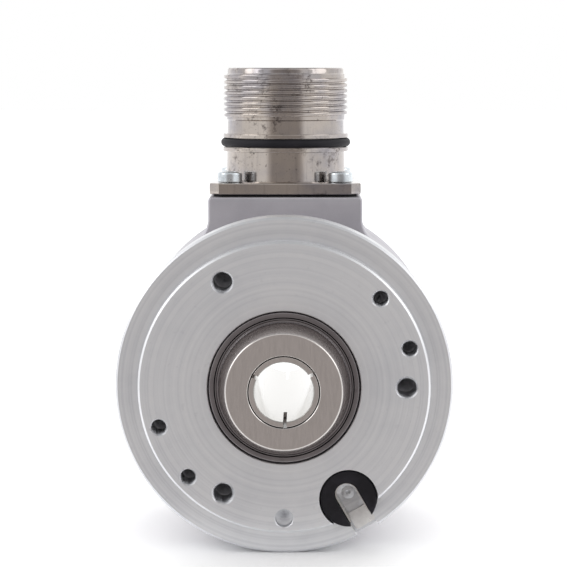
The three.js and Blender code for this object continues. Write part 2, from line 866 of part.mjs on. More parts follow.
const ledDiscGap = 0.8;
const ledDepth = 3.4;
const ledWidth = 7;
const ledLensRadius = 1.1;
const ledLensDepth = 1.5;
const ledStartY = flangeBackY + FIT_GAP;
const ledEndY = discY - ledDiscGap;
const ledBody = box(ledDepth, ledEndY - ledStartY, ledWidth, 0, (ledStartY + ledEndY) / 2, 0);
darkPlastic(
  "led_holder",
  around(
    cut(ledBody, rod(ledLensRadius, ledEndY - ledLensDepth, ledEndY + OVERSHOOT)),
    Math.max(trackRadius, carrierRadius + ledDepth / 2 + RUNNING_GAP),
    SENSOR_ANGLE,
  ),
);
addPiece(
  "scanning_reticle",
  around(
    box(reticleDepth, reticleThickness, reticleWidth, 0, reticleY + reticleThickness / 2, 0),
    scannedRadius,
    SENSOR_ANGLE,
  ),
  0xa9b7b9,
  0,
  0.15,
);
darkPlastic(
  "sensor_chip",
  around(
    box(chipDepth, chipThickness, chipWidth, 0, chipY + chipThickness / 2, 0),
    scannedRadius,
    SENSOR_ANGLE,
  ),
);

const boardBlank = ring(boardHoleRadius, boardRadius, boardY, boardEndY);
addPiece(
  "circuit_board",
  cut(
    boardBlank,
    ...standoffAngles.map((angle) =>
      around(
        rod(boardScrewRadius + 0.2, boardY - OVERSHOOT, boardEndY + OVERSHOOT, 12),
        standoffCircle,
        angle,
      ),
    ),
    ...tieScrewAngles.map((angle) =>
      around(
        rod(TIE_SCREW_RADIUS + 0.6, boardY - OVERSHOOT, boardEndY + OVERSHOOT, 12),
        tieScrewCircle,
        angle,
      ),
    ),
  ),
  0x1f6b46,
  0,
  0.6,
);

const standoffEndY = boardY - FIT_GAP;
const boardScrewEndY = standoffEndY - 4;
const boardHeadY = boardEndY + FIT_GAP;
const boardHeadRadius = 2;
const boardHeadLength = 1.5;
standoffAngles.forEach((angle, i) => {
  const post = rod(STANDOFF_RADIUS, flangeBackY + FIT_GAP, standoffEndY, 12);
  const tapping = rod(
    boardScrewRadius + FIT_GAP,
    boardScrewEndY - 0.5,
    standoffEndY + OVERSHOOT,
    12,
  );
  addPiece(
    "board_standoff_" + (i + 1),
    around(cut(post, tapping), standoffCircle, angle),
    0xb08d45,
    1,
    0.4,
  );
  zincSteel(
    "board_screw_" + (i + 1),
    around(
      socketScrew(
        boardScrewRadius,
        boardHeadRadius,
        boardScrewEndY,
        boardHeadY,
        boardHeadY + boardHeadLength,
      ),
      standoffCircle,
      angle,
    ),
  );
});

// The ribbon runs from a header on the board up to the tails of the connector's pins.
const headerY = boardEndY + FIT_GAP;
const headerLength = 2.4;
const headerWidth = 12;
const headerDepth = 3.4;
const headerZ = boardHoleRadius + 4.2;
const ribbonThickness = 0.5;
const ribbonBend = 2;
const ribbonWidth = 10;
const ribbonOffset = 1.38; // it rises this far behind the connector's axis, beside the inner pins
const ribbonBackY = Math.max(
  headerY + headerLength + FIT_GAP + ribbonBend,
  connectorY + ribbonOffset,
);
const pinTailZ = bossTopZ + 0.6;
const ribbonTopZ = pinTailZ - RUNNING_GAP;

addPiece(
  "board_header",
  box(headerWidth, headerLength, headerDepth, 0, headerY + headerLength / 2, headerZ),
  0xd9d4c6,
  0,
  0.6,
);

const ribbonOutline = new THREE.Shape();
const ribbonStartY = headerY + headerLength + FIT_GAP;
const ribbonInner = ribbonBend - ribbonThickness;
const bendCentreY = ribbonBackY - ribbonBend + ribbonThickness / 2;
const bendCentreZ = headerZ - ribbonThickness / 2 + ribbonBend;
ribbonOutline.moveTo(ribbonStartY, headerZ - ribbonThickness / 2);
ribbonOutline.absarc(bendCentreY, bendCentreZ, ribbonBend, rad(270), rad(360), false);
ribbonOutline.lineTo(bendCentreY + ribbonBend, ribbonTopZ);
ribbonOutline.lineTo(bendCentreY + ribbonInner, ribbonTopZ);
ribbonOutline.absarc(bendCentreY, bendCentreZ, ribbonInner, rad(360), rad(270), true);
ribbonOutline.lineTo(ribbonStartY, headerZ + ribbonThickness / 2);
addPiece(
  "ribbon_cable",
  new THREE.ExtrudeGeometry(ribbonOutline, {
    depth: ribbonWidth,
    bevelEnabled: false,
    curveSegments: 6,
  })
    .rotateX(rad(90))
    .rotateZ(rad(90))
    .translate(-ribbonWidth / 2, 0, 0),
  0x8a8d92,
  0,
  0.6,
);

// ---- Connector: gasket, threaded shell, O-ring, insert, pins and screws ------------------------

/** A square with cut corners, centred on the connector's axis. */
function squareOutline(width, corner) {
  const half = width / 2;
  const side = half - corner;
  const corners = [
    [half, -side],
    [half, side],
    [side, half],
    [-side, half],
    [-half, side],
    [-half, -side],
    [-side, -half],
    [side, -half],
  ];
  return new THREE.Shape(corners.map(([x, y]) => new THREE.Vector2(x, y)));
}

/** A square plate of the given thickness, its underside at height z. */
function squarePlate(width, corner, thickness, z) {
  const options = { depth: thickness, bevelEnabled: false };
  const plate = new THREE.ExtrudeGeometry(squareOutline(width, corner), options);
  return plate.translate(0, connectorY, z);
}

const gasketZ = bossTopZ + GASKET_GAP;
const plateZ = gasketZ + GASKET_THICKNESS + GASKET_GAP;
const plateTopZ = plateZ + PLATE_THICKNESS;
const lowerLipZ = plateTopZ + LOWER_NECK_HEIGHT;
const grooveZ = lowerLipZ + LIP_HEIGHT;
const grooveTopZ = grooveZ + O_RING_SECTION + FIT_GAP;
const upperLipTopZ = grooveTopZ + LIP_HEIGHT;
const threadZ = upperLipTopZ + UPPER_NECK_HEIGHT;
const threadTopZ = threadZ + (THREAD_TURNS + 0.4) * THREAD_PITCH;
const rimZ = threadTopZ + LEAD_IN_HEIGHT;
const rimEdge = 0.3;
const threadRadius = NECK_RADIUS + THREAD_STEP;
const threadRootRadius = threadRadius - THREAD_DEPTH;
const lipRadius = NECK_RADIUS + LIP_STEP;
const oRingCentreRadius = lipRadius + O_RING_STAND_OUT - O_RING_SECTION / 2;
const grooveRadius = oRingCentreRadius - O_RING_SECTION / 2 - FIT_GAP;
const shellSides = 28;
const ledgeZ = plateTopZ + 0.2;

const gasketWidth = 2 * (plateHalf - GASKET_INSET);
const screwShanks = (radius) =>
  screwPlaces.map(([x, y]) => onConnector(rod(radius, gasketZ - 1, plateTopZ + 1), x, y));

blackRubber(
  "connector_gasket",
  cut(
    squarePlate(gasketWidth, PLATE_CHAMFER, GASKET_THICKNESS, gasketZ),
    onConnector(rod(wireHoleRadius, gasketZ - OVERSHOOT, plateZ + OVERSHOOT, 32)),
    ...screwShanks(flangeScrewRadius + FIT_GAP),
  ),
);

const threadProfile = Array.from({ length: THREAD_TURNS }, (_, turn) => [
  [threadRootRadius, threadZ + (turn + 0.2) * THREAD_PITCH],
  [threadRadius, threadZ + (turn + 0.7) * THREAD_PITCH],
]).flat();
const shellOutside = turned(
  [
    [0, plateZ],
    [NECK_RADIUS, plateZ],
    [NECK_RADIUS, lowerLipZ],
    [lipRadius, lowerLipZ],
    [lipRadius, grooveZ],
    [grooveRadius, grooveZ],
    [grooveRadius, grooveTopZ],
    [lipRadius, grooveTopZ],
    [lipRadius, upperLipTopZ],
    [NECK_RADIUS, upperLipTopZ],
    [NECK_RADIUS, threadZ],
    ...threadProfile,
    [threadRootRadius, threadTopZ],
    [NECK_RADIUS, threadTopZ],
    [NECK_RADIUS, rimZ - rimEdge],
    [NECK_RADIUS - rimEdge, rimZ],
    [0, rimZ],
  ],
  shellSides,
);
const shellInside = turned(
  [
    [0, plateZ - OVERSHOOT],
    [wireHoleRadius, plateZ - OVERSHOOT],
    [wireHoleRadius, ledgeZ],
    [shellBoreRadius, ledgeZ],
    [shellBoreRadius, rimZ + OVERSHOOT],
    [0, rimZ + OVERSHOOT],
  ],
  shellSides,
);
nickel(
  "connector_shell",
  cut(
    join(
      onConnector(shellOutside),
      squarePlate(2 * plateHalf, PLATE_CHAMFER, PLATE_THICKNESS, plateZ),
    ),
    onConnector(shellInside),
    ...screwShanks(flangeScrewRadius + FIT_GAP),
  ),
);

blackRubber(
  "connector_o_ring",
  onConnector(
    turned(
      Array.from({ length: 8 }, (_, i) => {
        const angle = rad(i * 45 - 90);
        return [
          oRingCentreRadius + (O_RING_SECTION / 2) * Math.cos(angle),
          (grooveZ + grooveTopZ) / 2 + (O_RING_SECTION / 2) * Math.sin(angle),
        ];
      }),
      shellSides,
    ),
  ),
);

const insertFaceZ = rimZ - INSERT_DEPTH;
const pinTopZ = rimZ - PIN_TOP_DEPTH;
const pinSides = 8;
const pinCircles = [
  { count: OUTER_PINS, radius: 6.3 },
  { count: INNER_PINS, radius: 2.5 },
];
const pinPlaces = pinCircles.flatMap(({ count, radius }) =>
  Array.from({ length: count }, (_, i) => {
    const angle = rad((i * 360) / count + 90);
    return [radius * Math.cos(angle), radius * Math.sin(angle)];
  }),
);
darkPlastic(
  "connector_insert",
  cut(
    onConnector(rod(shellBoreRadius - FIT_GAP, ledgeZ + FIT_GAP, insertFaceZ, shellSides)),
    ...pinPlaces.map(([x, y]) =>
      onConnector(rod(PIN_RADIUS + FIT_GAP, ledgeZ - 1, insertFaceZ + OVERSHOOT, pinSides), x, y),
    ),
  ),
);
pinPlaces.forEach(([x, y], i) => {
  const pin = turned(
    [
      [0, pinTailZ],
      [PIN_RADIUS, pinTailZ],
      [PIN_RADIUS, pinTopZ - PIN_RADIUS],
      [PIN_RADIUS / 2, pinTopZ],
      [0, pinTopZ],
    ],
    pinSides,
  );
  gold("contact_pin_" + (i + 1), onConnector(pin, x, y));
});

screwPlaces.forEach(([x, y], i) => {
  const headZ = plateTopZ + FIT_GAP;
  zincSteel(
    "connector_screw_" + (i + 1),
    onConnector(
      socketScrew(
        flangeScrewRadius,
        SCREW_HEAD_RADIUS,
        bossTopZ - flangeScrewDepth,
        headZ,
        headZ + SCREW_HEAD_LENGTH,
      ),
      x,
      y,
    ),
  );
});

export default model;
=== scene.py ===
import bpy
import numpy as np
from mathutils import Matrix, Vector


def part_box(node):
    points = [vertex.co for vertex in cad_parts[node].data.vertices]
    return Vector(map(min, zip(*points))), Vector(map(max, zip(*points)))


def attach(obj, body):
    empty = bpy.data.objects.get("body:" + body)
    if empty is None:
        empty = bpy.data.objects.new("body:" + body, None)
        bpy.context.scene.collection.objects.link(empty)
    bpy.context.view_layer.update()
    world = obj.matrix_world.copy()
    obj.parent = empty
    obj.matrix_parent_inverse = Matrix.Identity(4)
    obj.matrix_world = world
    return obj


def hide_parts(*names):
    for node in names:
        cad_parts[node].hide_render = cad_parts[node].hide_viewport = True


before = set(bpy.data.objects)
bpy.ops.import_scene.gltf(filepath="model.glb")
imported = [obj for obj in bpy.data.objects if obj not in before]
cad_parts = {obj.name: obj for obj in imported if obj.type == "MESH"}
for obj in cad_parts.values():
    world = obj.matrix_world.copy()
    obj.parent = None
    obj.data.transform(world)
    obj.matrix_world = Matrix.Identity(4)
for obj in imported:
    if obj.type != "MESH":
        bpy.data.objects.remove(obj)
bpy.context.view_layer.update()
STILL, TURNING = "encoder_body", "rotor"

# ---- Front flange --------------------------------------------------------------------------
# Aluminium bar turned to 58 mm, with a raised 50 mm centring face and a tube behind it that
# holds both ball bearings. The tapped holes, the torque pocket and its rim notch are milled.

MM = 0.001  # every size below is in millimetres
PLAY = 0.12  # between pieces that fit into one another


def span(node):
    """The low and the high corner of a CAD node's box, in millimetres."""
    return [np.array(corner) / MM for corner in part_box(node)]


flange_low, flange_high = span("front_flange")
rim_radius = flange_high[0]
face_y = flange_low[1]
carrier_end = flange_high[1]
spigot_radius = rim_radius - 4
flange_length = 8
locating_radius = 25.38
flange_back = 11
seal_groove = (24.02, 8.7, 10.3)  # radius, start and end
carrier_radius = 16
seat_radius = 13.12
shoulder_radius = 12
shoulder = (2.52, 11.88)
circlip_groove = (13.72, 17.74, 18.98)


def rounded(corners, radius, steps=5, hold=0.04):
    """A closed outline whose corners are arcs: each arc's centre lies on its corner's bisector at
    radius / sin(half angle), and its points swing evenly from one side's tangent point to the
    other's. One more point stands `hold` along each side, so that the flats shade flat."""
    corners = np.array(corners, float)
    radius = np.broadcast_to(np.array(radius, float), len(corners))[:, None]
    back = np.roll(corners, 1, 0) - corners
    ahead = np.roll(corners, -1, 0) - corners
    back /= np.linalg.norm(back, axis=1, keepdims=True)
    ahead /= np.linalg.norm(ahead, axis=1, keepdims=True)
    half = np.arccos(np.clip((back * ahead).sum(1, keepdims=True), -1, 1)) / 2
    start = corners + back * radius / np.tan(half)
    end = corners + ahead * radius / np.tan(half)
    inward = back + ahead
    centre = corners + inward / np.linalg.norm(inward, axis=1, keepdims=True) * radius / np.sin(half)
    swing = (np.pi - 2 * half)[:, None]
    share = np.linspace(0, 1, steps)[None, :, None]
    arcs = (
        np.sin((1 - share) * swing) * (start - centre)[:, None]
        + np.sin(share * swing) * (end - centre)[:, None]
    ) / np.sin(swing) + centre[:, None]
    held = np.concatenate([(start + back * hold)[:, None], arcs, (end + ahead * hold)[:, None]], 1)
    points = held.reshape(-1, 2)
    apart = np.linalg.norm(points - np.roll(points, 1, 0), axis=1)
    return points[apart > 1e-5]


def turned(profile, sides=192):
    """Profile points (radius, y) turned about the shaft's axis: a point becomes the circle
    (radius cos a, y, radius sin a)."""
    angle = np.linspace(0, 2 * np.pi, sides, endpoint=False)
    radius, along = np.array(profile, float).T[:, :, None]
    return np.stack([radius * np.cos(angle), along + 0 * angle, radius * np.sin(angle)], -1)


def drilled(radius, depth, edge, pitch=0.0, sides=40):
    """A blind hole from y = 0: a cone for its broken edge, a wall and a drill point. A tapped wall
    swells and shrinks with y, radius + pitch * (0.35 |2 fract(y / pitch - a / 2 pi) - 1| - 0.12)."""
    angle = np.linspace(0, 2 * np.pi, sides, endpoint=False)
    wall = np.linspace(edge, depth, 2 + int(6 * (depth - edge) / pitch) if pitch else 2)[:, None]
    ridge = pitch * (0.35 * np.abs(2 * ((wall / (pitch or 1) - angle / (2 * np.pi)) % 1) - 1) - 0.12)
    ends = np.array([[radius + edge + 1, -1], [radius * 0.9, depth + 0.03], [0.02, depth + radius * 0.6]])
    radii = np.concatenate([ends[:1, :1] + 0 * angle, radius + ridge, ends[1:, :1] + 0 * angle])
    heights = np.concatenate([ends[:1, 1:], wall, ends[1:, 1:]]) + 0 * angle
    return np.stack([radii * np.cos(angle), heights, radii * np.sin(angle)], -1)


def begun_inside(profile):
    """The outline begun at its innermost, lowest point, so that its two ends are the flat caps."""
    return np.roll(profile, -np.argmin(profile[:, 0] * 1000 + profile[:, 1]), 0)


def slab(outlines, heights):
    """Outlines (x, z), one for each height y, stacked along the shaft's axis."""
    outlines = np.broadcast_to(outlines, (len(heights), *np.shape(outlines)[-2:]))
    along = np.array(heights, float)[:, None] + 0 * outlines[..., 0]
    return np.stack([outlines[..., 0], along, outlines[..., 1]], -1)


def swung(grid, radius, degrees):
    """The grid moved out to a radius along X and swung about the shaft's axis by an angle."""
    angle = np.radians(degrees)
    x, y, z = grid[..., 0] + radius, grid[..., 1], grid[..., 2]
    return np.stack([x * np.cos(angle) - z * np.sin(angle), y, x * np.sin(angle) + z * np.cos(angle)], -1)


def moved(grid, x=0.0, y=0.0, z=0.0):
    """The grid carried along the three axes, unturned."""
    return grid + np.array([x, y, z])


def solid(name, *grids, ring=False):
    """One object from closed grids of points, each rows by columns. A face lies between two rows
    and two columns, and the columns join up. The rows join up too where ring is true, and end in a
    flat cap where it isn't. Faces are turned round where the volume comes out negative."""
    points, faces = [], []
    for grid in grids:
        rows, columns = grid.shape[:2]
        index = np.arange(rows * columns).reshape(rows, columns)
        across = np.roll(index, -1, 1)
        quads = np.stack([index, across, np.roll(across, -1, 0), np.roll(index, -1, 0)], -1)
        quads = quads.reshape(-1, 4) if ring else quads[:-1].reshape(-1, 4)
        flat = grid.reshape(-1, 3)
        a, b, c, d = (flat[quads[:, i]] - flat.mean(0) for i in range(4))
        volume = (a * (np.cross(b, c) + np.cross(c, d))).sum()
        caps = [] if ring else [index[0, ::-1], index[-1]]
        for end in caps:
            fan = flat[end] - flat.mean(0)
            volume += (fan[0] * np.cross(fan[1:-1], fan[2:])).sum()
        order = -1 if volume < 0 else 1
        start = sum(len(p) for p in points)
        faces += (quads[:, ::order] + start).tolist() + [(end[::order] + start).tolist() for end in caps]
        points.append(flat)
    mesh = bpy.data.meshes.new(name)
    mesh.from_pydata(np.concatenate(points) * MM, [], faces)
    made = bpy.data.objects.new(name, mesh)
    bpy.context.scene.collection.objects.link(made)
    return made


def combine(base, tool, operation="DIFFERENCE"):
    """Cuts the tool out of the base, or joins it on, and takes the tool away. Points that fall on
    one another along the cut are welded into one."""
    step = base.modifiers.new("step", "BOOLEAN")
    step.operation = operation
    step.solver = "EXACT"
    step.object = tool
    base.modifiers.new("weld", "WELD").merge_threshold = 0.002 * MM
    worked = base.evaluated_get(bpy.context.evaluated_depsgraph_get())
    shape = bpy.data.meshes.new_from_object(worked)
    base.modifiers.clear()
    base.data = shape
    bpy.data.objects.remove(tool)
    return base


class Value:
    """A shader socket used as a number: +, -, *, / and ** on it add Math nodes."""

    def __init__(self, finish, socket):
        self.finish = finish
        self.socket = socket

    def maths(self, operation, *others):
        terms = dict(enumerate([self, *others]))
        return self.finish.node("ShaderNodeMath", {"operation": operation}, terms)

    def reflected(self, operation, other):
        return self.finish.node("ShaderNodeMath", {"operation": operation}, {0: other, 1: self})

    def __add__(self, other):
        return self.maths("ADD", other)

    def __sub__(self, other):
        return self.maths("SUBTRACT", other)

    def __mul__(self, other):
        return self.maths("MULTIPLY", other)

    def __truediv__(self, other):
        return self.maths("DIVIDE", other)

    def __pow__(self, other):
        return self.maths("POWER", other)

    def __rsub__(self, other):
        return self.reflected("SUBTRACT", other)

    def __rtruediv__(self, other):
        return self.reflected("DIVIDE", other)

    __radd__ = __add__
    __rmul__ = __mul__

    def ramp(self, low, high):
        """0 below low, 1 above high, and smooth between them."""
        settings = {"interpolation_type": "SMOOTHSTEP"}
        return self.finish.node("ShaderNodeMapRange", settings, {0: self, 1: low, 2: high})


class Finish:
    """A material being mixed. node() adds a node, and shade() feeds the surface shader."""

    def __init__(self, name):
        self.material = bpy.data.materials.new(name)
        self.material.use_nodes = True
        self.tree = self.material.node_tree
        self.surface = self.tree.nodes["Principled BSDF"]
        self.place = self.node("ShaderNodeTexCoord", {}, {}, "Object")

    def node(self, kind, settings, inputs, output=0):
        made = self.tree.nodes.new(kind)
        for name, setting in settings.items():
            setattr(made, name, setting)
        self.feed(made, inputs)
        return Value(self, made.outputs[output])

    def feed(self, node, inputs):
        for name, value in inputs.items():
            if isinstance(value, Value):
                self.tree.links.new(value.socket, node.inputs[name])
            else:
                node.inputs[name].default_value = value

    def shade(self, inputs):
        self.feed(self.surface, inputs)

    def axes(self):
        split = self.node("ShaderNodeSeparateXYZ", {}, {0: self.place})
        outputs = split.socket.node.outputs
        return [Value(self, outputs[i]) for i in range(3)]

    def noise(self, scale, detail=3.0, roughness=0.5, stretch=(1, 1, 1)):
        """Soft noise from 0 to 1, with features about 1 / scale metres across."""
        place = self.node("ShaderNodeMapping", {}, {"Vector": self.place, "Scale": stretch})
        inputs = {"Vector": place, "Scale": scale, "Detail": detail, "Roughness": roughness}
        return self.node("ShaderNodeTexNoise", {}, inputs)

    def line_noise(self, along, scale, detail=2.0):
        """Noise that changes only with one number."""
        settings = {"noise_dimensions": "1D"}
        return self.node("ShaderNodeTexNoise", settings, {"W": along, "Scale": scale, "Detail": detail})

    def between(self, share, first, second):
        return self.node("ShaderNodeMix", {"data_type": "RGBA"}, {0: share, 6: first, 7: second}, 2)

    def bump(self, height, depth):
        """A Bump node whose full height is `depth` millimetres."""
        self.shade({"Normal": self.node("ShaderNodeBump", {}, {"Height": height, "Distance": depth * MM})})


def colour(red, green, blue):
    """A linear colour from screen values of 0 to 255, by the sRGB curve."""
    screen = np.array([red, green, blue]) / 255
    linear = np.where(screen > 0.04045, ((screen + 0.055) / 1.055) ** 2.4, screen / 12.92)
    return (*linear, 1.0)


def turned_metal(name, light, dark, roughness, mark=0.004):
    """Metal from the lathe: fine grooves round the shaft's axis, laid by radius - y so that they
    run over faces and sides alike, with broad patches where the surface is duller or darker."""
    finish = Finish(name)
    x, y, z = finish.axes()
    feed = (x * x + z * z) ** 0.5 - y
    grooves = finish.line_noise(feed, 3000, 2.0)
    bands = finish.line_noise(feed, 1300, 5.0)
    patches = finish.noise(90, 4.0, 0.6)
    specks = finish.noise(900, 2.0).ramp(0.66, 0.74)
    share = (bands * 0.6 + patches * 0.8 - 0.2 + specks * 0.12).ramp(0.1, 0.95)
    finish.shade({
        "Base Color": finish.between(share, light, dark),
        "Metallic": 1.0,
        "Roughness": roughness + (patches - 0.5) * 0.12 + (bands - 0.5) * 0.08,
    })
    finish.bump(grooves + finish.noise(1500, 2.0) * 0.05, mark)
    return finish


def fit(piece, body, slot, finish, *nodes):
    """Finishes a piece: smooth faces with crisp edges, its material, the body that it rides on
    and the nodes that it stands for. The slot argument is not used."""
    piece.data.polygons.foreach_set("use_smooth", np.ones(len(piece.data.polygons), bool))
    piece.data.set_sharp_from_angle(angle=np.radians(32))
    piece.data.materials.clear()
    piece.data.materials.append(finish.material)
    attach(piece, body)
    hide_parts(*nodes)


flange_profile = [
    (seat_radius + 0.12, face_y),
    (spigot_radius - 0.35, face_y),
    (spigot_radius, face_y + 0.35),
    (spigot_radius, 0),
    (rim_radius - 0.35, 0),
    (rim_radius, 0.35),
    (rim_radius, flange_length - 0.35),
    (rim_radius - 0.35, flange_length),
    (locating_radius, flange_length),
    (locating_radius, seal_groove[1]),
    (seal_groove[0], seal_groove[1]),
    (seal_groove[0], seal_groove[2]),
    (locating_radius, seal_groove[2]),
    (locating_radius, flange_back),
    (carrier_radius, flange_back),
    (carrier_radius, carrier_end),
    (seat_radius, carrier_end),
    (seat_radius, circlip_groove[2]),
    (circlip_groove[0], circlip_groove[2]),
    (circlip_groove[0], circlip_groove[1]),
    (seat_radius, circlip_groove[1]),
    (seat_radius, shoulder[1]),
    (shoulder_radius, shoulder[1]),
    (shoulder_radius, shoulder[0]),
    (seat_radius, shoulder[0]),
    (seat_radius, face_y + 0.12),
]
front_flange = solid("flange", turned(rounded(flange_profile, 0.05, 3), 256), ring=True)

m4_hole = moved(drilled(1.7, 8, 0.25, 0.7), y=face_y)
m3_hole = moved(drilled(1.32, 7, 0.2, 0.5), y=face_y)
pin_hole = moved(drilled(1.5, 2.2, 0.15), y=face_y)
m4_circle = spigot_radius - 4
m3_circle = spigot_radius - 2.5
tie_circle = 21.92
tie_angles = (30, 150, 270)
tie_bore = 1.52
tie_hole = slab(turned([[tie_bore, 0]], 32)[0][:, ::2], [flange_back - 5, flange_back + 1])
front_holes = (
    [swung(m4_hole, m4_circle, angle) for angle in (0, 120, 240)]
    + [swung(m3_hole, m3_circle, angle) for angle in (17.5, 43, 197.5, 223)]
    + [swung(pin_hole, m3_circle, -90)]
    + [swung(tie_hole, tie_circle, angle) for angle in tie_angles]
)
combine(front_flange, solid("drills", *front_holes))

torque_circle = spigot_radius - 2.9
torque_angle = -60
pocket_radius = 5.05
pocket_floor = 4
notch_half = 2.15
pocket_profile = [
    (pocket_radius, face_y - 1),
    (pocket_radius, pocket_floor),
    (2.3, pocket_floor),
    (2.2, pocket_floor + 0.05),
    (1.3, pocket_floor + 0.05),
    (1.15, pocket_floor + 0.13),
    (1.0, pocket_floor + 0.05),
    (0.42, pocket_floor + 0.05),
    (0.05, pocket_floor + 0.3),
]
pocket = swung(turned(pocket_profile, 96), torque_circle, torque_angle)
combine(front_flange, solid("end_mill", pocket))
notch_outline = [(0, -notch_half), (9, -notch_half), (9, notch_half), (0, notch_half)]
notch = swung(slab(notch_outline, [face_y - 1, pocket_floor]), torque_circle, torque_angle)
combine(front_flange, solid("slot_mill", notch))

flange_finish = turned_metal(
    "turned_aluminium", colour(238, 239, 241), colour(210, 211, 215), 0.48, 0.016
)
fit(front_flange, STILL, "flange_aluminium", flange_finish, "front_flange")


# ---- Torque block --------------------------------------------------------------------------
# A moulded rubber disc pressed into the flange's pocket, slotted for the pin on the machine.
# A bent spring-steel clip lines the slot, and its foot lies in the notch of the rim.

rubber_radius = pocket_radius - 0.2
rubber_face = face_y + 0.3
rubber_back = pocket_floor - PLAY
slot_half = 2.05
slot_centre = -0.7


def slot_path(half, end):
    """A U in (x, z): in along z = half, half a circle about (slot_centre, 0), out along -half."""
    angle = np.radians(np.linspace(90, 270, 25))
    bend = np.stack([slot_centre + half * np.cos(angle), half * np.sin(angle)], -1)
    return np.concatenate([[(end, half)], bend, [(end, -half)]])


rubber_profile = rounded(
    [(0.5, rubber_face), (rubber_radius, rubber_face), (rubber_radius, rubber_back), (0.5, rubber_back)],
    [0, 0.3, 0.1, 0],
)
rubber_rows = turned(begun_inside(rubber_profile), 96)
torque_rubber = solid("torque_block", swung(rubber_rows, torque_circle, torque_angle))
flare = np.array([0.5, 0.12, 0.04, 0, 0])
flare_heights = rubber_face + np.array([-0.4, 0, 0.07, 0.16, 9])
slot_tool = slab(np.array([slot_path(slot_half + f, 7) for f in flare]), flare_heights)
combine(torque_rubber, solid("slot", swung(slot_tool, torque_circle, torque_angle)))


def rubber(name, black=(15, 13, 18)):
    """Moulded black rubber: matt, with a fine pebbled skin and a faint grey bloom in patches."""
    finish = Finish(name)
    bloom = finish.noise(260, 4.0, 0.65)
    skin = finish.noise(2400, 3.0, 0.6)
    finish.shade({
        "Base Color": finish.between(bloom.ramp(0.35, 0.8), colour(*black), colour(36, 34, 40)),
        "Roughness": 0.6 + (bloom - 0.5) * 0.3,
        "Specular IOR Level": 0.25,
    })
    finish.bump(skin + bloom * 0.6, 0.03)
    return finish


black_rubber = rubber("moulded_rubber")
fit(torque_rubber, STILL, "black_rubber", black_rubber, "torque_rubber")

clip_outer = slot_half - PLAY
clip_sheet = 0.2
clip_top = rubber_face + 1.5
clip_end = 3.9
foot_start = 3.2
foot_end = rim_radius - torque_circle - 0.5
clip_outline = np.concatenate([
    slot_path(clip_outer, clip_end),
    slot_path(clip_outer - clip_sheet, clip_end)[::-1],
])
clip_wall = slab(clip_outline, [clip_top, rubber_back])
foot_outline = rounded(
    [(foot_start, -clip_outer), (foot_end, -clip_outer), (foot_end, clip_outer), (foot_start, clip_outer)],
    [0, 0.4, 0.4, 0],
)
clip_foot = slab(foot_outline, [rubber_back - clip_sheet, rubber_back])
torque_clip = solid("torque_spring_clip", swung(clip_wall, torque_circle, torque_angle))
combine(torque_clip, solid("foot", swung(clip_foot, torque_circle, torque_angle)), "UNION")


def sheet_steel(name, light, dark, roughness=0.3):
    """Rolled steel: long faint rolling lines, a few scuffs and a mottled shine."""
    finish = Finish(name)
    rolling = finish.noise(500, 3.0, 0.5, (1, 0.12, 1))
    mottle = finish.noise(240, 4.0, 0.6)
    scuffs = finish.noise(1300, 2.0).ramp(0.62, 0.7)
    finish.shade({
        "Base Color": finish.between((mottle * 0.7 + rolling * 0.4).ramp(0.3, 0.85), light, dark),
        "Metallic": 1.0,
        "Roughness": roughness + (rolling - 0.5) * 0.2 + scuffs * 0.15,
    })
    finish.bump(rolling + scuffs * 0.5, 0.004)
    return finish


spring_steel = sheet_steel("spring_steel", colour(240, 239, 237), colour(206, 204, 203))
fit(torque_clip, STILL, "spring_steel", spring_steel, "torque_clip")


# ---- Ball bearings -------------------------------------------------------------------------
# Two thin-section bearings, 17 x 26 x 5 mm, in the flange's tube. The front one shows its outer
# ring and pressed shield round the shaft's nose; the rest stays as it is with a steel finish.

bearing_low, bearing_high = span("front_bearing_outer_ring")
bearing_radius = bearing_high[0]
race_radius = bearing_radius - 1
ring_profile = rounded(
    [
        (race_radius, bearing_low[1]),
        (bearing_radius, bearing_low[1]),
        (bearing_radius, bearing_high[1]),
        (race_radius, bearing_high[1]),
    ],
    [0.1, 0.34, 0.34, 0.1],
)
outer_ring = solid("front_bearing_ring", turned(ring_profile), ring=True)

shield_low, shield_high = span("front_bearing_shield")
shield_face = shield_low[1]
shield_profile = [
    (9.8, shield_face + 0.02),
    (11.2, shield_face + 0.02),
    (11.34, shield_face + 0.14),
    (11.56, shield_face + 0.14),
    (11.68, shield_face),
    (shield_high[0] - 0.06, shield_face),
    (shield_high[0], shield_face + 0.07),
    (shield_high[0], shield_high[1]),
    (9.8, shield_high[1]),
]
shield = solid("front_bearing_cover", turned(rounded(shield_profile, 0.03, 3, 0.015)), ring=True)

ground_steel = turned_metal(
    "ground_bearing_steel", colour(166, 162, 164), colour(118, 114, 118), 0.2, 0.002
)
fit(outer_ring, STILL, "bearing_steel", ground_steel, "front_bearing_outer_ring")
fit(shield, STILL, "bearing_steel", ground_steel, "front_bearing_shield")


def refinish(finish, *nodes):
    """Gives nodes that keep their own shape a finish."""
    for name in nodes:
        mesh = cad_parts[name].data
        mesh.materials.clear()
        mesh.materials.append(finish.material)


refinish(
    ground_steel,
    "front_bearing_inner_ring",
    "rear_bearing_inner_ring",
    "rear_bearing_outer_ring",
    "rear_bearing_shield",
    "front_ball_cage",
    "rear_ball_cage",
    "bearing_spacer",
)
refinish(spring_steel, "preload_washer", "bearing_circlip")


# ---- Hollow shaft --------------------------------------------------------------------------
# Turned and polished steel: a tapered nose in front of the bearing, a journal through both
# bearings, and a thinner slotted tail behind the cover that the clamp ring squeezes.

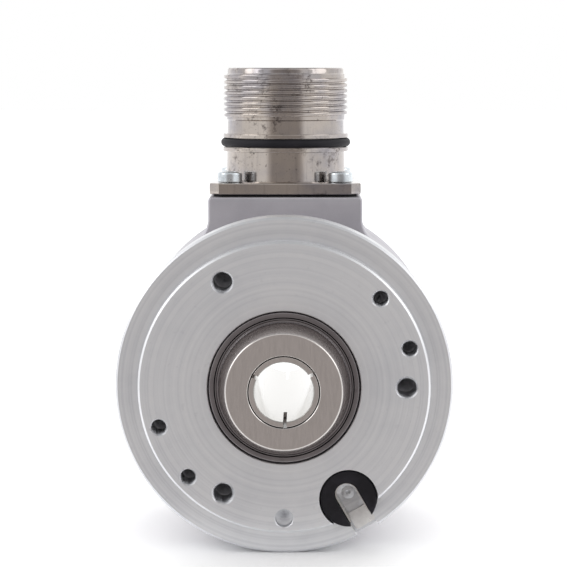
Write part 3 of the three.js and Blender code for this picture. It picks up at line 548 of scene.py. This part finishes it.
shaft_low, shaft_high = span("hollow_shaft")
nose_y = shaft_low[1]
tail_end = shaft_high[1]
shaft_bore = 6.08
nose_radius = 9.95
nose_base = shaft_high[0]
nose_back = -3.02
nose_step = 9.4
journal_radius = 8.38
tail_radius = 7.98
cover_low, cover_high = span("rear_cover")
tail_start = cover_high[1] + 0.3

shaft_profile = [
    (shaft_bore + 0.16, nose_y),
    (nose_radius, nose_y),
    (nose_base, nose_back - 0.5),
    (nose_base, nose_back),
    (nose_step, nose_back),
    (nose_step, nose_back + 0.3),
    (journal_radius, nose_back + 0.3),
    (journal_radius, tail_start),
    (tail_radius, tail_start),
    (tail_radius, tail_end),
    (shaft_bore + 0.16, tail_end),
    (shaft_bore, tail_end - 0.16),
    (shaft_bore, nose_y + 0.16),
]
shaft_rounds = [0.04, 0.34, 0.1, 0.1, 0.04, 0.04, 0.04, 0.04, 0.04, 0.2, 0.04, 0.04, 0.04]
shaft = solid("shaft", turned(rounded(shaft_profile, shaft_rounds), 224), ring=True)
slot_angles = [32 + i * 120 for i in range(3)]


def wall_slot(width, outer, start, end):
    """A thin upright block across a tube's wall, from the axis out past its radius."""
    half = width / 2
    return slab([(3.0, -half), (outer + 1, -half), (outer + 1, half), (3.0, half)], [start, end])


tail_slot = wall_slot(1.0, tail_radius, tail_start + 0.5, tail_end + 1)
tail_slots = [swung(tail_slot, 0, angle) for angle in slot_angles]
combine(shaft, solid("slitting_saw", *tail_slots))


def polished(name, face_light, face_dark, bore_painted_light):
    """Polished steel with hair-fine marks: warm grey outside, a painted light tone in the sleeve's bore,
    duller on the nose's taper and darkened there with painted shade, and painted shade in the narrow
    band of radius where sleeve meets shaft."""
    finish = turned_metal(name, face_light, face_dark, 0.2, 0.0012)
    x, _, z = finish.axes()
    reach = (x * x + z * z) ** 0.5 / MM
    hair = finish.noise(2200, 3.0, 0.6, (1, 1, 0.15))
    bore = 1 - reach.ramp(sleeve_bore + 0.1, sleeve_bore + 0.2)
    taper = reach.ramp(nose_radius - 0.05, nose_radius + 0.2)
    # painted shade: the narrow band of radius where sleeve meets shaft is painted dark for the gap's shadow
    past_seat = reach.ramp(shaft_bore + 0.04, shaft_bore + 0.1)
    seat = reach.ramp(shaft_bore - 0.16, shaft_bore - 0.1) * (1 - past_seat)
    face = finish.between(hair.ramp(0.25, 0.8), face_light, face_dark)
    # painted shade: the taper's colour is darker, standing in for the dark reflection it shows
    outside = finish.between(taper, face, colour(190, 181, 177))
    # painted light: the sleeve's bore takes its own painted tone for the light inside the bore
    lined = finish.between(bore, outside, bore_painted_light)
    finish.shade({
        "Base Color": finish.between(seat, lined, colour(52, 47, 46)),
        "Roughness": 0.2 + (hair - 0.5) * 0.1 + taper * 0.08 - bore * 0.08,
    })
    return finish


sleeve_bore = 5.05
# the third colour is the painted light tone of the sleeve's bore
polished_steel = polished(
    "polished_shaft_steel", colour(226, 221, 218), colour(214, 209, 206), colour(197, 195, 191)
)
fit(shaft, TURNING, "shaft_steel", polished_steel, "hollow_shaft")


# ---- Reducing sleeve -----------------------------------------------------------------------
# A thin turned steel sleeve in the shaft's bore that brings it down to 10 mm. Three saw cuts at
# each end let it close on the machine's shaft when the clamp ring is tightened.

sleeve_low, sleeve_high = span("reducing_sleeve")
sleeve_radius = sleeve_high[0]
sleeve_profile = rounded(
    [
        (sleeve_bore, sleeve_low[1]),
        (sleeve_radius, sleeve_low[1]),
        (sleeve_radius, sleeve_high[1]),
        (sleeve_bore, sleeve_high[1]),
    ],
    [0.14, 0.08, 0.08, 0.14],
)
sleeve = solid("reduction_sleeve", turned(sleeve_profile, 160), ring=True)
front_cuts = [wall_slot(0.6, sleeve_radius, sleeve_low[1] - 1, sleeve_low[1] + 12)]
rear_cuts = [wall_slot(0.6, sleeve_radius, sleeve_high[1] - 12, sleeve_high[1] + 1)]
saw_cuts = [swung(cut, 0, angle) for cut in front_cuts + rear_cuts for angle in slot_angles]
combine(sleeve, solid("saw", *saw_cuts))
fit(sleeve, TURNING, "shaft_steel", polished_steel, "reducing_sleeve")


# ---- Code disc -----------------------------------------------------------------------------
# A glass disc with fine radial lines, held on an aluminium hub by a clamping ring. It turns
# with the shaft between the light source and the sensor.

coded_glass = Finish("coded_glass")
disc_x, _, disc_z = coded_glass.axes()
disc_angle = disc_z.maths("ARCTAN2", disc_x)
disc_reach = (disc_x * disc_x + disc_z * disc_z) ** 0.5 / MM
line_count = 256
lines = (disc_angle * (line_count / 2)).maths("SINE").ramp(-0.1, 0.1)
track = disc_reach.ramp(16.2, 16.3) * (1 - disc_reach.ramp(18.8, 18.9))
dust = coded_glass.noise(700, 3.0).ramp(0.6, 0.75)
coded_glass.shade({
    "Base Color": coded_glass.between(lines * track, colour(196, 208, 208), colour(38, 40, 44)),
    "Roughness": 0.06 + dust * 0.2 + lines * track * 0.2,
    "Metallic": lines * track * 0.7,
})
hub_metal = turned_metal("hub_aluminium", colour(205, 204, 206), colour(176, 174, 180), 0.34)
refinish(coded_glass, "code_disc")
refinish(hub_metal, "disc_hub", "disc_clamping_ring")


# ---- Scanning parts and circuit board ------------------------------------------------------
# A black holder with the light source, a glass reticle and a sensor chip read the disc. The
# chip's round board stands on three brass posts; a ribbon cable runs up to the connector.


def moulded_plastic(name, light, dark, roughness=0.5):
    """Moulded plastic: a fine spark-eroded skin with slightly uneven shine."""
    finish = Finish(name)
    flow = finish.noise(180, 4.0, 0.6)
    finish.shade({
        "Base Color": finish.between(flow.ramp(0.3, 0.75), light, dark),
        "Roughness": roughness + (flow - 0.5) * 0.2,
    })
    finish.bump(finish.noise(3200, 2.0), 0.012)
    return finish


black_plastic = moulded_plastic("black_plastic", colour(44, 45, 48), colour(32, 33, 35))
cream_plastic = moulded_plastic("cream_plastic", colour(218, 212, 198), colour(200, 193, 178))
chip_plastic = moulded_plastic("chip_resin", colour(52, 53, 56), colour(38, 39, 42), 0.42)
refinish(black_plastic, "led_holder")
refinish(cream_plastic, "board_header")
refinish(chip_plastic, "sensor_chip")
refinish(coded_glass, "scanning_reticle")

laminate = Finish("green_laminate")
warp = laminate.noise(1800, 2.0, 0.5, (1, 1, 0.3))
weft = laminate.noise(1800, 2.0, 0.5, (0.3, 1, 1))
weave = warp * 0.5 + weft * 0.5
board_x, _, board_z = laminate.axes()
board_reach = (board_x * board_x + board_z * board_z) ** 0.5 / MM
rings = (board_reach * 4.2 + laminate.noise(160, 1.0) * 3.0).maths("SINE").ramp(0.72, 0.82)
laminate.shade({
    "Base Color": laminate.between(rings * 0.6 + weave * 0.3, colour(24, 92, 58), colour(66, 132, 84)),
    "Roughness": 0.38 + weave * 0.2,
})
laminate.bump(rings + weave * 0.3, 0.02)
refinish(laminate, "circuit_board")

turned_brass = sheet_steel("turned_brass", colour(206, 172, 100), colour(168, 132, 66), 0.28)
refinish(turned_brass, *[f"board_standoff_{i}" for i in (1, 2, 3)])

ribbon_film = Finish("ribbon_film")
ribbon_x = ribbon_film.axes()[0]
cores = (ribbon_x * (2 * np.pi / (1.0 * MM))).maths("COSINE")
ribbon_film.shade({
    "Base Color": ribbon_film.between(cores.ramp(-0.2, 0.6), colour(120, 123, 128), colour(164, 166, 170)),
    "Roughness": 0.45 + ribbon_film.noise(400, 3.0) * 0.2,
})
ribbon_film.bump(cores, 0.12)
refinish(ribbon_film, "ribbon_cable")
refinish(black_rubber, "housing_seal")


# ---- Housing -------------------------------------------------------------------------------
# A blasted aluminium tube that covers the scanning parts, 1.4 mm smaller than the flange. A
# square boss with hollow-filleted sides rises from its top and carries the connector.

housing_low, housing_high = span("housing")
housing_radius = housing_high[0]
housing_start, housing_end = housing_low[1], housing_high[1]
housing_bore = 25.5
boss_top = housing_high[2]
plate_low, plate_high = span("connector_shell")
connector_y = (plate_low[1] + plate_high[1]) / 2
boss_half = plate_high[0] + 0.25
boss_fillet = 5
boss_corner = 0.7
boss_edge = 0.4
fillet_x = boss_half + boss_fillet
fillet_z = np.sqrt((housing_radius + boss_fillet) ** 2 - fillet_x**2)
wire_hole = 9
screw_half = plate_high[0] - 3.6
screw_places = [(x * screw_half, y * screw_half) for x, y in ((-1, -1), (1, -1), (1, 1), (-1, 1))]


def screw_holes(low, high):
    """Clearance holes for the four connector screws, from one height to the other."""
    return [stood(plug(1.27, low, high, sides=24), x, y) for x, y in screw_places]


def boss_outline(inset):
    """Half the boss in (x, z), then its mirror image: a hollow arc about (fillet_x, fillet_z) that
    leaves the tube, a straight side and a round top corner, all drawn in by `inset`."""
    tangent = np.degrees(np.arctan2(fillet_z, fillet_x)) + 180
    hollow = np.radians(np.linspace(tangent, 180, 24))
    corner = np.radians(np.linspace(0, 90, 9))
    reach = boss_fillet + inset
    round_off = boss_corner - inset
    side = np.concatenate([
        [(fillet_x * 0.8, fillet_z * 0.62)],
        np.stack([fillet_x + reach * np.cos(hollow), fillet_z + reach * np.sin(hollow)], -1),
        np.stack([
            boss_half - boss_corner + round_off * np.cos(corner),
            boss_top - boss_corner + round_off * np.sin(corner),
        ], -1),
        [(boss_half - boss_corner - 0.1, boss_top - inset)],
    ])
    return np.concatenate([side, side[::-1] * (-1, 1)])


quarter = np.radians(np.linspace(0, 90, 7))
insets = boss_edge * (1 - np.sin(quarter))
set_backs = boss_edge * (1 - np.cos(quarter))
boss_start, boss_end = connector_y - boss_half, connector_y + boss_half
boss_rows = slab(
    np.array([boss_outline(inset) for inset in [*insets, 0, 0, *insets[::-1]]]),
    [*(boss_start + set_backs), boss_start + 0.5, boss_end - 0.5, *(boss_end - set_backs[::-1])],
)


def plug(radius, start, end, edge=0.0, sides=192):
    """A round bar along the shaft's axis with both ends broken at 45 degrees."""
    profile = [(radius - edge, start), (radius, start + edge), (radius, end - edge), (radius - edge, end)]
    return turned(profile if edge else [(radius, start), (radius, end)], sides)


def stood(grid, x=0.0, y=0.0):
    """A grid made about the shaft's axis stood upright, its y as height, on the connector's axis."""
    return np.stack([grid[..., 0] + x, grid[..., 2] + y + connector_y, grid[..., 1]], -1)


housing = solid("encoder_housing", plug(housing_radius, housing_start, housing_end, boss_edge, 256))
combine(housing, solid("boss", boss_rows), "UNION")
cavity = plug(housing_bore, housing_start - 1, housing_end + 1)
combine(housing, solid("boring_bar", cavity))
boss_holes = screw_holes(boss_top - 4.72, boss_top + 1)
boss_holes.append(stood(plug(wire_hole, 5, boss_top + 1, sides=96)))
combine(housing, solid("boss_drills", *boss_holes))

blasted = Finish("blasted_aluminium")
grain = blasted.noise(3000, 2.0, 0.6)
cloud = blasted.noise(60, 4.0, 0.6)
blasted.shade({
    "Base Color": blasted.between(cloud.ramp(0.3, 0.75),
                                  colour(202, 200, 205), colour(184, 182, 188)),
    "Metallic": 1.0,
    "Roughness": 0.56 + (cloud - 0.5) * 0.14 + (grain - 0.5) * 0.1,
})
blasted.bump(grain, 0.01)
fit(housing, STILL, "housing_aluminium", blasted, "housing")


# ---- Rear cover and its seal ---------------------------------------------------------------
# A turned aluminium cap let into the housing's end. Three long screws pull cap, housing and
# flange together; a rubber lip seal in its bore runs on the shaft.

cover_bore = 9.18
cover_seat = housing_end + PLAY
cover_end = cover_high[1]
seal_box = span("rear_shaft_seal")
seal_outer = seal_box[1][0]
cover_profile = [
    (seal_outer + PLAY, cover_low[1]),
    (locating_radius, cover_low[1]),
    (locating_radius, cover_seat),
    (housing_radius, cover_seat),
    (housing_radius, cover_end - 0.8),
    (housing_radius - 0.8, cover_end),
    (cover_bore, cover_end),
    (cover_bore, seal_box[1][1] + PLAY),
    (seal_outer + PLAY, seal_box[1][1] + PLAY),
]
rear_cover = solid("rear_cap", turned(rounded(cover_profile, 0.08, 3), 256), ring=True)
tie_head_radius = 2.5
tie_low, tie_high = span("cover_screw_1")
tie_head_end = tie_high[1]
tie_head_start = tie_head_end - 2.4
recess = turned([
    (tie_head_radius + PLAY, tie_head_start - PLAY),
    (tie_head_radius + PLAY, cover_end - 0.2),
    (tie_head_radius + 1.3, cover_end + 1),
], 48)
through = turned([(tie_bore, cover_low[1] - 1), (tie_bore, tie_head_start)], 32)
cover_holes = [swung(recess, tie_circle, angle) for angle in tie_angles]
cover_drills = [swung(through, tie_circle, angle) for angle in tie_angles]
combine(rear_cover, solid("counterbores", *cover_holes))
combine(rear_cover, solid("drills", *cover_drills))
cap_finish = turned_metal("turned_cap_aluminium", colour(196, 195, 198), colour(166, 164, 171), 0.42)
fit(rear_cover, STILL, "housing_aluminium", cap_finish, "rear_cover")

seal_inner = journal_radius + 0.3
seal_profile = [
    (seal_inner, seal_box[0][1] + 1.2),
    (seal_inner + 0.5, seal_box[0][1]),
    (seal_outer, seal_box[0][1]),
    (seal_outer, seal_box[1][1]),
    (seal_inner + 0.6, seal_box[1][1]),
    (seal_inner, seal_box[0][1] + 1.9),
]
lip_seal = solid("rear_lip_seal", turned(rounded(seal_profile, 0.12), 160), ring=True)
fit(lip_seal, STILL, "black_rubber", black_rubber, "rear_shaft_seal")


# ---- Socket screws -------------------------------------------------------------------------
# Zinc-plated cylinder-head screws with a hexagon socket: three long ones through the rear cap,
# three small ones on the board, one across the clamp ring and four on the connector's plate.


def socket_screw(name, place, shank, head, tip, seat, top, socket, edge=0.3):
    """A turned screw along y, its socket a hexagon of radius `socket` cut in from the top, and
    each point carried to its place by the function `place`."""
    profile = rounded(
        [(0.05, tip), (shank, tip), (shank, seat), (head, seat), (head, top), (0.05, top)],
        [0, 0.2, 0.05, 0.12, edge, 0],
        5,
        0.03,
    )
    screw = solid(name, place(turned(begun_inside(profile), 64)))
    depth = top - (top - seat) * 0.6
    across = turned([
        (0.1, depth - socket * 0.3),
        (socket, depth),
        (socket, top - 0.12),
        (socket + 1.1, top + 1),
    ], 6)
    return combine(screw, solid(name + "_key", place(across)))


def plated_steel(name, light, dark):
    """Zinc plate: a bright bluish skin, slightly clouded, with tiny dark pits."""
    finish = Finish(name)
    cloud = finish.noise(420, 4.0, 0.6)
    pits = finish.noise(2600, 2.0).ramp(0.68, 0.76)
    finish.shade({
        "Base Color": finish.between((cloud + pits * 0.5).ramp(0.35, 0.95), light, dark),
        "Metallic": 1.0,
        "Roughness": 0.27 + (cloud - 0.5) * 0.22 + pits * 0.2,
    })
    finish.bump(cloud + pits * -0.6, 0.006)
    return finish


zinc_plate = plated_steel("zinc_plate", colour(222, 228, 232), colour(156, 162, 168))
for number, angle in enumerate(tie_angles, 1):
    screw = socket_screw(
        f"cap_screw_{number}", lambda grid: swung(grid, tie_circle, angle),
        1.4, tie_head_radius, tie_low[1], tie_head_start, tie_head_end, 1.38,
    )
    fit(screw, STILL, "zinc_steel", zinc_plate, f"cover_screw_{number}")
refinish(zinc_plate, *[f"board_screw_{i}" for i in (1, 2, 3)])


# ---- Clamp ring ----------------------------------------------------------------------------
# A split aluminium ring round the shaft's slotted tail. Its cross screw closes the slit and so
# grips the machine's shaft through the tail and the sleeve.

clamp_low, clamp_high = span("clamp_ring")
clamp_inner = tail_radius + PLAY
clamp_outer = clamp_high[0]
clamp_middle = (clamp_low[1] + clamp_high[1]) / 2
clamp_height = clamp_inner + (clamp_outer - clamp_inner) / 2
clamp_profile = [
    (clamp_inner, clamp_low[1]),
    (clamp_outer, clamp_low[1]),
    (clamp_outer, clamp_high[1]),
    (clamp_inner, clamp_high[1]),
]
clamp_ring = solid("tail_clamp", turned(rounded(clamp_profile, [0.3, 0.5, 0.5, 0.3])), ring=True)
slit_half = 0.7
slit = slab(
    [(-slit_half, clamp_inner - 3), (slit_half, clamp_inner - 3), (slit_half, 20), (-slit_half, 20)],
    [clamp_low[1] - 1, clamp_high[1] + 1],
)
clamp_screw_low, clamp_screw_high = span("clamp_screw")
clamp_head = 2.6
clamp_seat = clamp_screw_high[0] - 3


def crossways(grid):
    """A grid made along y laid along X, at the clamp screw's height."""
    return np.stack([grid[..., 1], clamp_middle + grid[..., 2], clamp_height + grid[..., 0]], -1)


combine(clamp_ring, solid("slitting", slit))
screw_bore = crossways(plug(1.62, clamp_screw_low[0] - 1, 9, sides=32))
combine(clamp_ring, solid("screw_drill", screw_bore))
counterbore = crossways(plug(clamp_head + PLAY, clamp_seat - PLAY, 20, sides=48))
combine(clamp_ring, solid("screw_seat", counterbore))
clamp_finish = turned_metal("clamp_aluminium", colour(202, 202, 204), colour(174, 174, 178), 0.34)
fit(clamp_ring, TURNING, "flange_aluminium", clamp_finish, "clamp_ring")

clamp_screw = socket_screw(
    "clamp_cross_screw", crossways, 1.5, clamp_head,
    clamp_screw_low[0], clamp_seat, clamp_screw_high[0], 1.44,
)
fit(clamp_screw, TURNING, "zinc_steel", zinc_plate, "clamp_screw")


# ---- Connector shell and gasket ------------------------------------------------------------
# Nickel-plated turned brass: a square plate with cut corners, a neck, a groove for the O-ring
# between two lips, an M23 x 1 thread and a thin rim. A flat rubber gasket lies under the plate.

plate_half = plate_high[0]
plate_cut = 1.7
plate_z, rim_z = plate_low[2], plate_high[2]
plate_top = plate_z + 2.05
neck = 10.65
lip = neck + 0.85
thread_crest = neck + 0.71
thread_root = thread_crest - 0.5
shell_bore = neck - 1.05
lower_lip = plate_top + 5.35
o_ring_low, o_ring_high = span("connector_o_ring")
groove_low = lower_lip + 0.78
groove_room = 1.72  # the O-ring's section and its play
groove_high = groove_low + groove_room
upper_lip = groove_high + 0.78
thread_start = upper_lip + 2.55
thread_end = thread_start + 8.4
corner_angle = np.arctan2(plate_half - plate_cut, plate_half)
quarter_turns = np.arange(4) * np.pi / 2
corners = np.concatenate([quarter_turns + corner_angle, quarter_turns - corner_angle + np.pi / 2])
around = np.unique(np.round(np.concatenate([np.linspace(0, 2 * np.pi, 144, endpoint=False), corners]), 9))


def squared(half, cut=plate_cut):
    """Distance from the axis to a square with cut corners, in each direction a: the nearest of the
    lines |x| = half, |y| = half and |x| + |y| = 2 half - cut."""
    c, s = np.abs(np.cos(around)), np.abs(np.sin(around))
    return 1 / np.maximum(np.maximum(c, s) / half, (c + s) / (2 * half - cut))


def rows(radii, heights):
    """Upright rows about the connector's axis, each with its own distance in every direction."""
    radii = np.array([r + 0 * around for r in radii])
    heights = np.array(heights, float)[:, None] + 0 * around
    return np.stack([radii * np.cos(around), connector_y + radii * np.sin(around), heights], -1)


scale = squared(plate_half) / plate_half
edges = np.array([0.28, 0.1, 0, 0, 0.02, 0.08, 0.18, 0.26])
edge_heights = [plate_z, plate_z + 0.06, plate_z + 0.2, plate_top - 0.26, plate_top - 0.16,
                plate_top - 0.07, plate_top - 0.02, plate_top]
plate_rows = rows([scale * (plate_half - e) for e in edges], edge_heights)

shell_outside = rounded(
    [
        (neck + 0.3, plate_top),
        (neck, plate_top + 0.3),
        (neck, lower_lip),
        (lip, lower_lip),
        (lip, groove_low),
        (o_ring_high[0] - groove_room, groove_low),
        (o_ring_high[0] - groove_room, groove_high),
        (lip, groove_high),
        (lip, upper_lip),
        (neck, upper_lip),
        (neck, thread_start - 0.3),
        (5, thread_start - 0.3),
    ],
    [0.02, 0.1, 0.1, 0.14, 0.1, 0.1, 0.1, 0.1, 0.14, 0.1, 0.02, 0],
    4,
    0.03,
)
shell_outside = shell_outside[shell_outside[:, 0] > 8]  # its innermost corner only steers the rounding
shell_outside = np.roll(shell_outside, -np.argmin(shell_outside[:, 1]), 0)

thread_profile = rounded(
    [
        (neck, thread_start - 0.2),
        (thread_root, thread_start - 0.2 + thread_root - neck),
        (thread_root, thread_end - thread_root + neck),
        (neck, thread_end),
    ],
    0.02, 3, 0.01,
)[3:-3]

rim_profile = [
    (neck, thread_end + 0.1), (neck, rim_z - 0.35), (neck - 0.06, rim_z - 0.15),
    (neck - 0.16, rim_z - 0.04), (neck - 0.3, rim_z), (shell_bore + 0.28, rim_z),
    (shell_bore + 0.1, rim_z - 0.06), (shell_bore, rim_z - 0.25), (shell_bore, rim_z - 0.6),
    (shell_bore, plate_top + 0.25), (shell_bore, plate_top + 0.2), (wire_hole, plate_top + 0.2),
    (wire_hole, plate_z + 0.1), (wire_hole + 0.1, plate_z),
]
shell_grid = np.concatenate([
    plate_rows,
    rows(*shell_outside.T),
    rows(*thread_profile.T),
    rows(*np.array(rim_profile).T),
])
shell = solid("connector_body", shell_grid, ring=True)

thread_turns = 8
thread_pitch = 1.0
ridge_turn = np.linspace(0, thread_turns - 0.15, 1100)[:, None]
ridge_sink = 0.62 * np.clip(1 - np.minimum(ridge_turn, ridge_turn[::-1]) / 0.35, 0, 1)
ridge_lift = np.array([-0.12, 0, 0.06, 0.22, 0.38, 0.47, 0.5])
ridge_half = np.array([0.43, 0.41, 0.38, 0.35, 0.31, 0.26, 0.18])
ridge_reach = thread_root - ridge_sink + np.concatenate([ridge_lift, ridge_lift[::-1]])
ridge_rise = np.concatenate([-ridge_half, ridge_half[::-1]]) + thread_start + 0.25 + ridge_turn * thread_pitch
ridge_angle = ridge_turn * 2 * np.pi
ridge = np.stack([
    ridge_reach * np.cos(ridge_angle),
    connector_y + ridge_reach * np.sin(ridge_angle),
    ridge_rise,
], -1)
combine(shell, solid("thread_ridge", ridge), "UNION")
combine(shell, solid("plate_drills", *screw_holes(plate_z - 1, plate_top + 1)))

nickel = Finish("nickel_plate")
film = nickel.noise(110, 4.0, 0.6)
streaks = nickel.noise(1500, 3.0, 0.55, (1, 1, 0.08))
stains = nickel.noise(460, 5.0, 0.8).ramp(0.5, 0.66) * nickel.noise(130, 2.0).ramp(0.42, 0.6)
pits = nickel.noise(1900, 2.0).ramp(0.66, 0.72)
warm = nickel.between(film.ramp(0.3, 0.72), colour(190, 181, 173), colour(156, 153, 158))
marred = stains * 0.85 + pits * 0.45 + streaks.ramp(0.5, 0.8) * 0.18
nickel.shade({
    "Base Color": nickel.between(marred, warm, colour(84, 76, 74)),
    "Metallic": 1.0,
    "Roughness": 0.1 + (film - 0.5) * 0.06 + (streaks - 0.5) * 0.1 + stains * 0.12,
})
nickel.bump(streaks * 0.5 + film * 2 - pits * 0.4, 0.0035)
fit(shell, STILL, "nickel_brass", nickel, "connector_shell")

gasket_low, gasket_high = span("connector_gasket")
gasket_half = gasket_high[0]
gasket_shape = [scale * (gasket_half - e) for e in (0.06, 0, 0, 0.06)]
gasket_levels = [gasket_low[2], gasket_low[2] + 0.06, gasket_high[2] - 0.06, gasket_high[2]]
gasket_grid = np.concatenate([
    rows(gasket_shape, gasket_levels),
    rows([wire_hole + 0.05, wire_hole, wire_hole, wire_hole + 0.05], gasket_levels[::-1]),
])
gasket = solid("plate_gasket", gasket_grid, ring=True)
combine(gasket, solid("gasket_punch", *screw_holes(plate_z - 2, plate_top + 1)))
fit(gasket, STILL, "black_rubber", black_rubber, "connector_gasket")


# ---- Connector O-ring ----------------------------------------------------------------------
# A black rubber ring stretched into the groove. It stands proud of both lips and seals the
# mating plug's sleeve.

o_ring_half = (o_ring_high[2] - o_ring_low[2]) / 2
o_ring_centre = o_ring_high[0] - o_ring_half
round_section = np.linspace(0, 2 * np.pi, 33)[:-1]
o_ring_grid = rows(
    o_ring_centre + o_ring_half * np.cos(round_section),
    (o_ring_low[2] + o_ring_high[2]) / 2 + o_ring_half * np.sin(round_section),
)
o_ring = solid("connector_seal_ring", o_ring_grid, ring=True)
seal_rubber = rubber("seal_rubber", (22, 21, 27))
fit(o_ring, STILL, "black_rubber", seal_rubber, "connector_o_ring")


# ---- Connector insert and pins -------------------------------------------------------------
# A moulded black block that holds nine outer and three inner contacts, each a gold-plated pin
# with a round tip.

insert_low, insert_high = span("connector_insert")
insert_radius = insert_high[0]
insert_profile = rounded(
    [
        (0.05, insert_low[2]),
        (insert_radius, insert_low[2]),
        (insert_radius, insert_high[2]),
        (insert_radius - 1.2, insert_high[2]),
        (insert_radius - 1.5, insert_high[2] - 0.5),
        (0.05, insert_high[2] - 0.5),
    ],
    [0, 0.2, 0.2, 0.15, 0.15, 0],
    4,
)
insert = solid("contact_carrier", stood(turned(begun_inside(insert_profile), 128)))
pin_radius = 0.5
outer_pins = [(6.3, 90 + i * 40) for i in range(9)]
inner_pins = [(2.5, 90 + i * 120) for i in range(3)]
pin_places = [(r * np.cos(np.radians(a)), r * np.sin(np.radians(a))) for r, a in outer_pins + inner_pins]
pin_hole_tool = plug(pin_radius + PLAY, insert_low[2] - 1, insert_high[2] + 1, sides=20)
combine(insert, solid("pin_drills", *[stood(pin_hole_tool, x, y) for x, y in pin_places]))
fit(insert, STILL, "insert_plastic", black_plastic, "connector_insert")

gold_plate = Finish("gold_plate")
worn = gold_plate.noise(1200, 4.0, 0.6)
gold_plate.shade({
    "Base Color": gold_plate.between(worn.ramp(0.35, 0.75), colour(232, 196, 112), colour(198, 156, 78)),
    "Metallic": 1.0,
    "Roughness": 0.2 + (worn - 0.5) * 0.2,
})
gold_plate.bump(worn, 0.003)
pin_low, pin_high = span("contact_pin_1")
tip = np.radians(np.linspace(0, 84, 9))
pin_profile = np.concatenate([
    [(pin_radius - 0.06, pin_low[2]), (pin_radius, pin_low[2] + 0.06)],
    np.stack([pin_radius * np.cos(tip), pin_high[2] - pin_radius + pin_radius * np.sin(tip)], -1),
])
for number, (x, y) in enumerate(pin_places, 1):
    pin = solid(f"pin_{number}", stood(turned(pin_profile, 24), x, y))
    fit(pin, STILL, "contact_gold", gold_plate, f"contact_pin_{number}")


# ---- Connector screws ----------------------------------------------------------------------
# Four short socket screws through the plate's corners into the boss.

for number, (x, y) in enumerate(screw_places, 1):
    low, high = span(f"connector_screw_{number}")
    screw = socket_screw(
        f"plate_screw_{number}", lambda grid: stood(grid, x, y),
        1.15, 2.19, low[2], high[2] - 1.8, high[2], 1.2, 0.42,
    )
    fit(screw, STILL, "zinc_steel", zinc_plate, f"connector_screw_{number}")


# ---- White ground --------------------------------------------------------------------------
# A wide matt white sheet that the encoder's rim rests on. It glows, except round the contact,
# so that it stays as white as the tent and only the contact shadow shows.

ground_level = (flange_low[2] - 0.03) * MM
reach = 4.0
ground_mesh = bpy.data.meshes.new("white_ground")
ground_front = -0.02
ground_mesh.from_pydata(
    [(-reach, ground_front, ground_level), (reach, ground_front, ground_level),
     (reach, reach, ground_level), (-reach, reach, ground_level)],
    [],
    [(0, 1, 2, 3)],
)
ground = bpy.data.objects.new("white_ground", ground_mesh)
bpy.context.scene.collection.objects.link(ground)
paper = Finish("white_paper")
paper_x, paper_y, _ = paper.axes()
contact_y = 0.026  # half way along the encoder's underside
contact_stretch = 2.3  # the shadow is this many times longer than wide
from_contact = (paper_x * paper_x + ((paper_y - contact_y) / contact_stretch) ** 2) ** 0.5
lit = from_contact.ramp(0.008, 0.04)
paper.shade({
    "Base Color": paper.between(paper.noise(8, 2.0), colour(250, 250, 250), colour(247, 247, 248)),
    "Emission Color": paper.between(lit, (0, 0, 0, 1), (1, 1, 1, 1)),
    "Emission Strength": 0.45,
    "Roughness": 0.9,
    "Specular IOR Level": 0.2,
})
ground_mesh.materials.append(paper.material)


# ---- Studio light --------------------------------------------------------------------------
# A white tent: bright at the sides and brighter behind, dimmer right overhead and round the
# opening that the camera looks through. The camera itself sees plain white behind the object.

world = bpy.data.worlds.new("white_tent")
bpy.context.scene.world = world
world.use_nodes = True


class Tent(Finish):
    """The same node building for the world: its direction takes the place of a surface point."""

    def __init__(self, world):
        self.tree = world.node_tree
        self.surface = self.tree.nodes["Background"]
        self.place = self.node("ShaderNodeTexCoord", {}, {}, "Generated")


tent = Tent(world)
_, depth, height = tent.axes()
opening = (depth * -1).ramp(0.76, 0.92)
overhead = height.ramp(0.72, 0.95)
backdrop = depth.ramp(0.2, 0.8)
glow = (0.95 + backdrop * 0.3) * (1 - opening * 0.6) * (1 - overhead * 0.6)
seen = tent.node("ShaderNodeLightPath", {}, {}, "Is Camera Ray")
warmth = tent.between(opening, (1, 1, 1, 1), (1.0, 0.93, 0.9, 1))
tent.shade({
    "Color": tent.between(seen, warmth, (1, 1, 1, 1)),
    "Strength": glow * (1 - seen) + seen * 1.0,
})
bpy.context.scene.view_settings.view_transform = "Standard"


def softbox(name, place, size, power):
    """A square lamp that faces the encoder."""
    data = bpy.data.lights.new(name, "AREA")
    data.size = size
    data.energy = power
    lamp = bpy.data.objects.new(name, data)
    lamp.location = place
    aim = -lamp.location
    lamp.rotation_euler = aim.to_track_quat("-Z", "Y").to_euler()
    bpy.context.scene.collection.objects.link(lamp)


softbox("left_softbox", (-0.55, -0.15, 0.35), 0.4, 0.8)
softbox("right_softbox", (0.55, -0.15, 0.35), 0.4, 0.6)


# ---- Camera --------------------------------------------------------------------------------
# A long lens 0.42 m in front of the mounting plane, a little above the shaft's axis.

camera_data = bpy.data.cameras.new("camera")
camera = bpy.data.objects.new("camera", camera_data)
camera_side, camera_away, camera_height = 0.00345, 0.42, 0.05504
look_down = 4.715  # degrees
camera.location = (camera_side, -camera_away, camera_height)
camera.rotation_euler = (np.radians(90 - look_down), 0, np.arctan2(camera_side, camera_away))
camera_data.sensor_width = 36
camera_data.lens = 156.5
camera_data.shift_x = -0.0012
camera_data.shift_y = -0.0284
camera_data.clip_start = 0.01
bpy.context.scene.collection.objects.link(camera)
bpy.context.scene.camera = camera
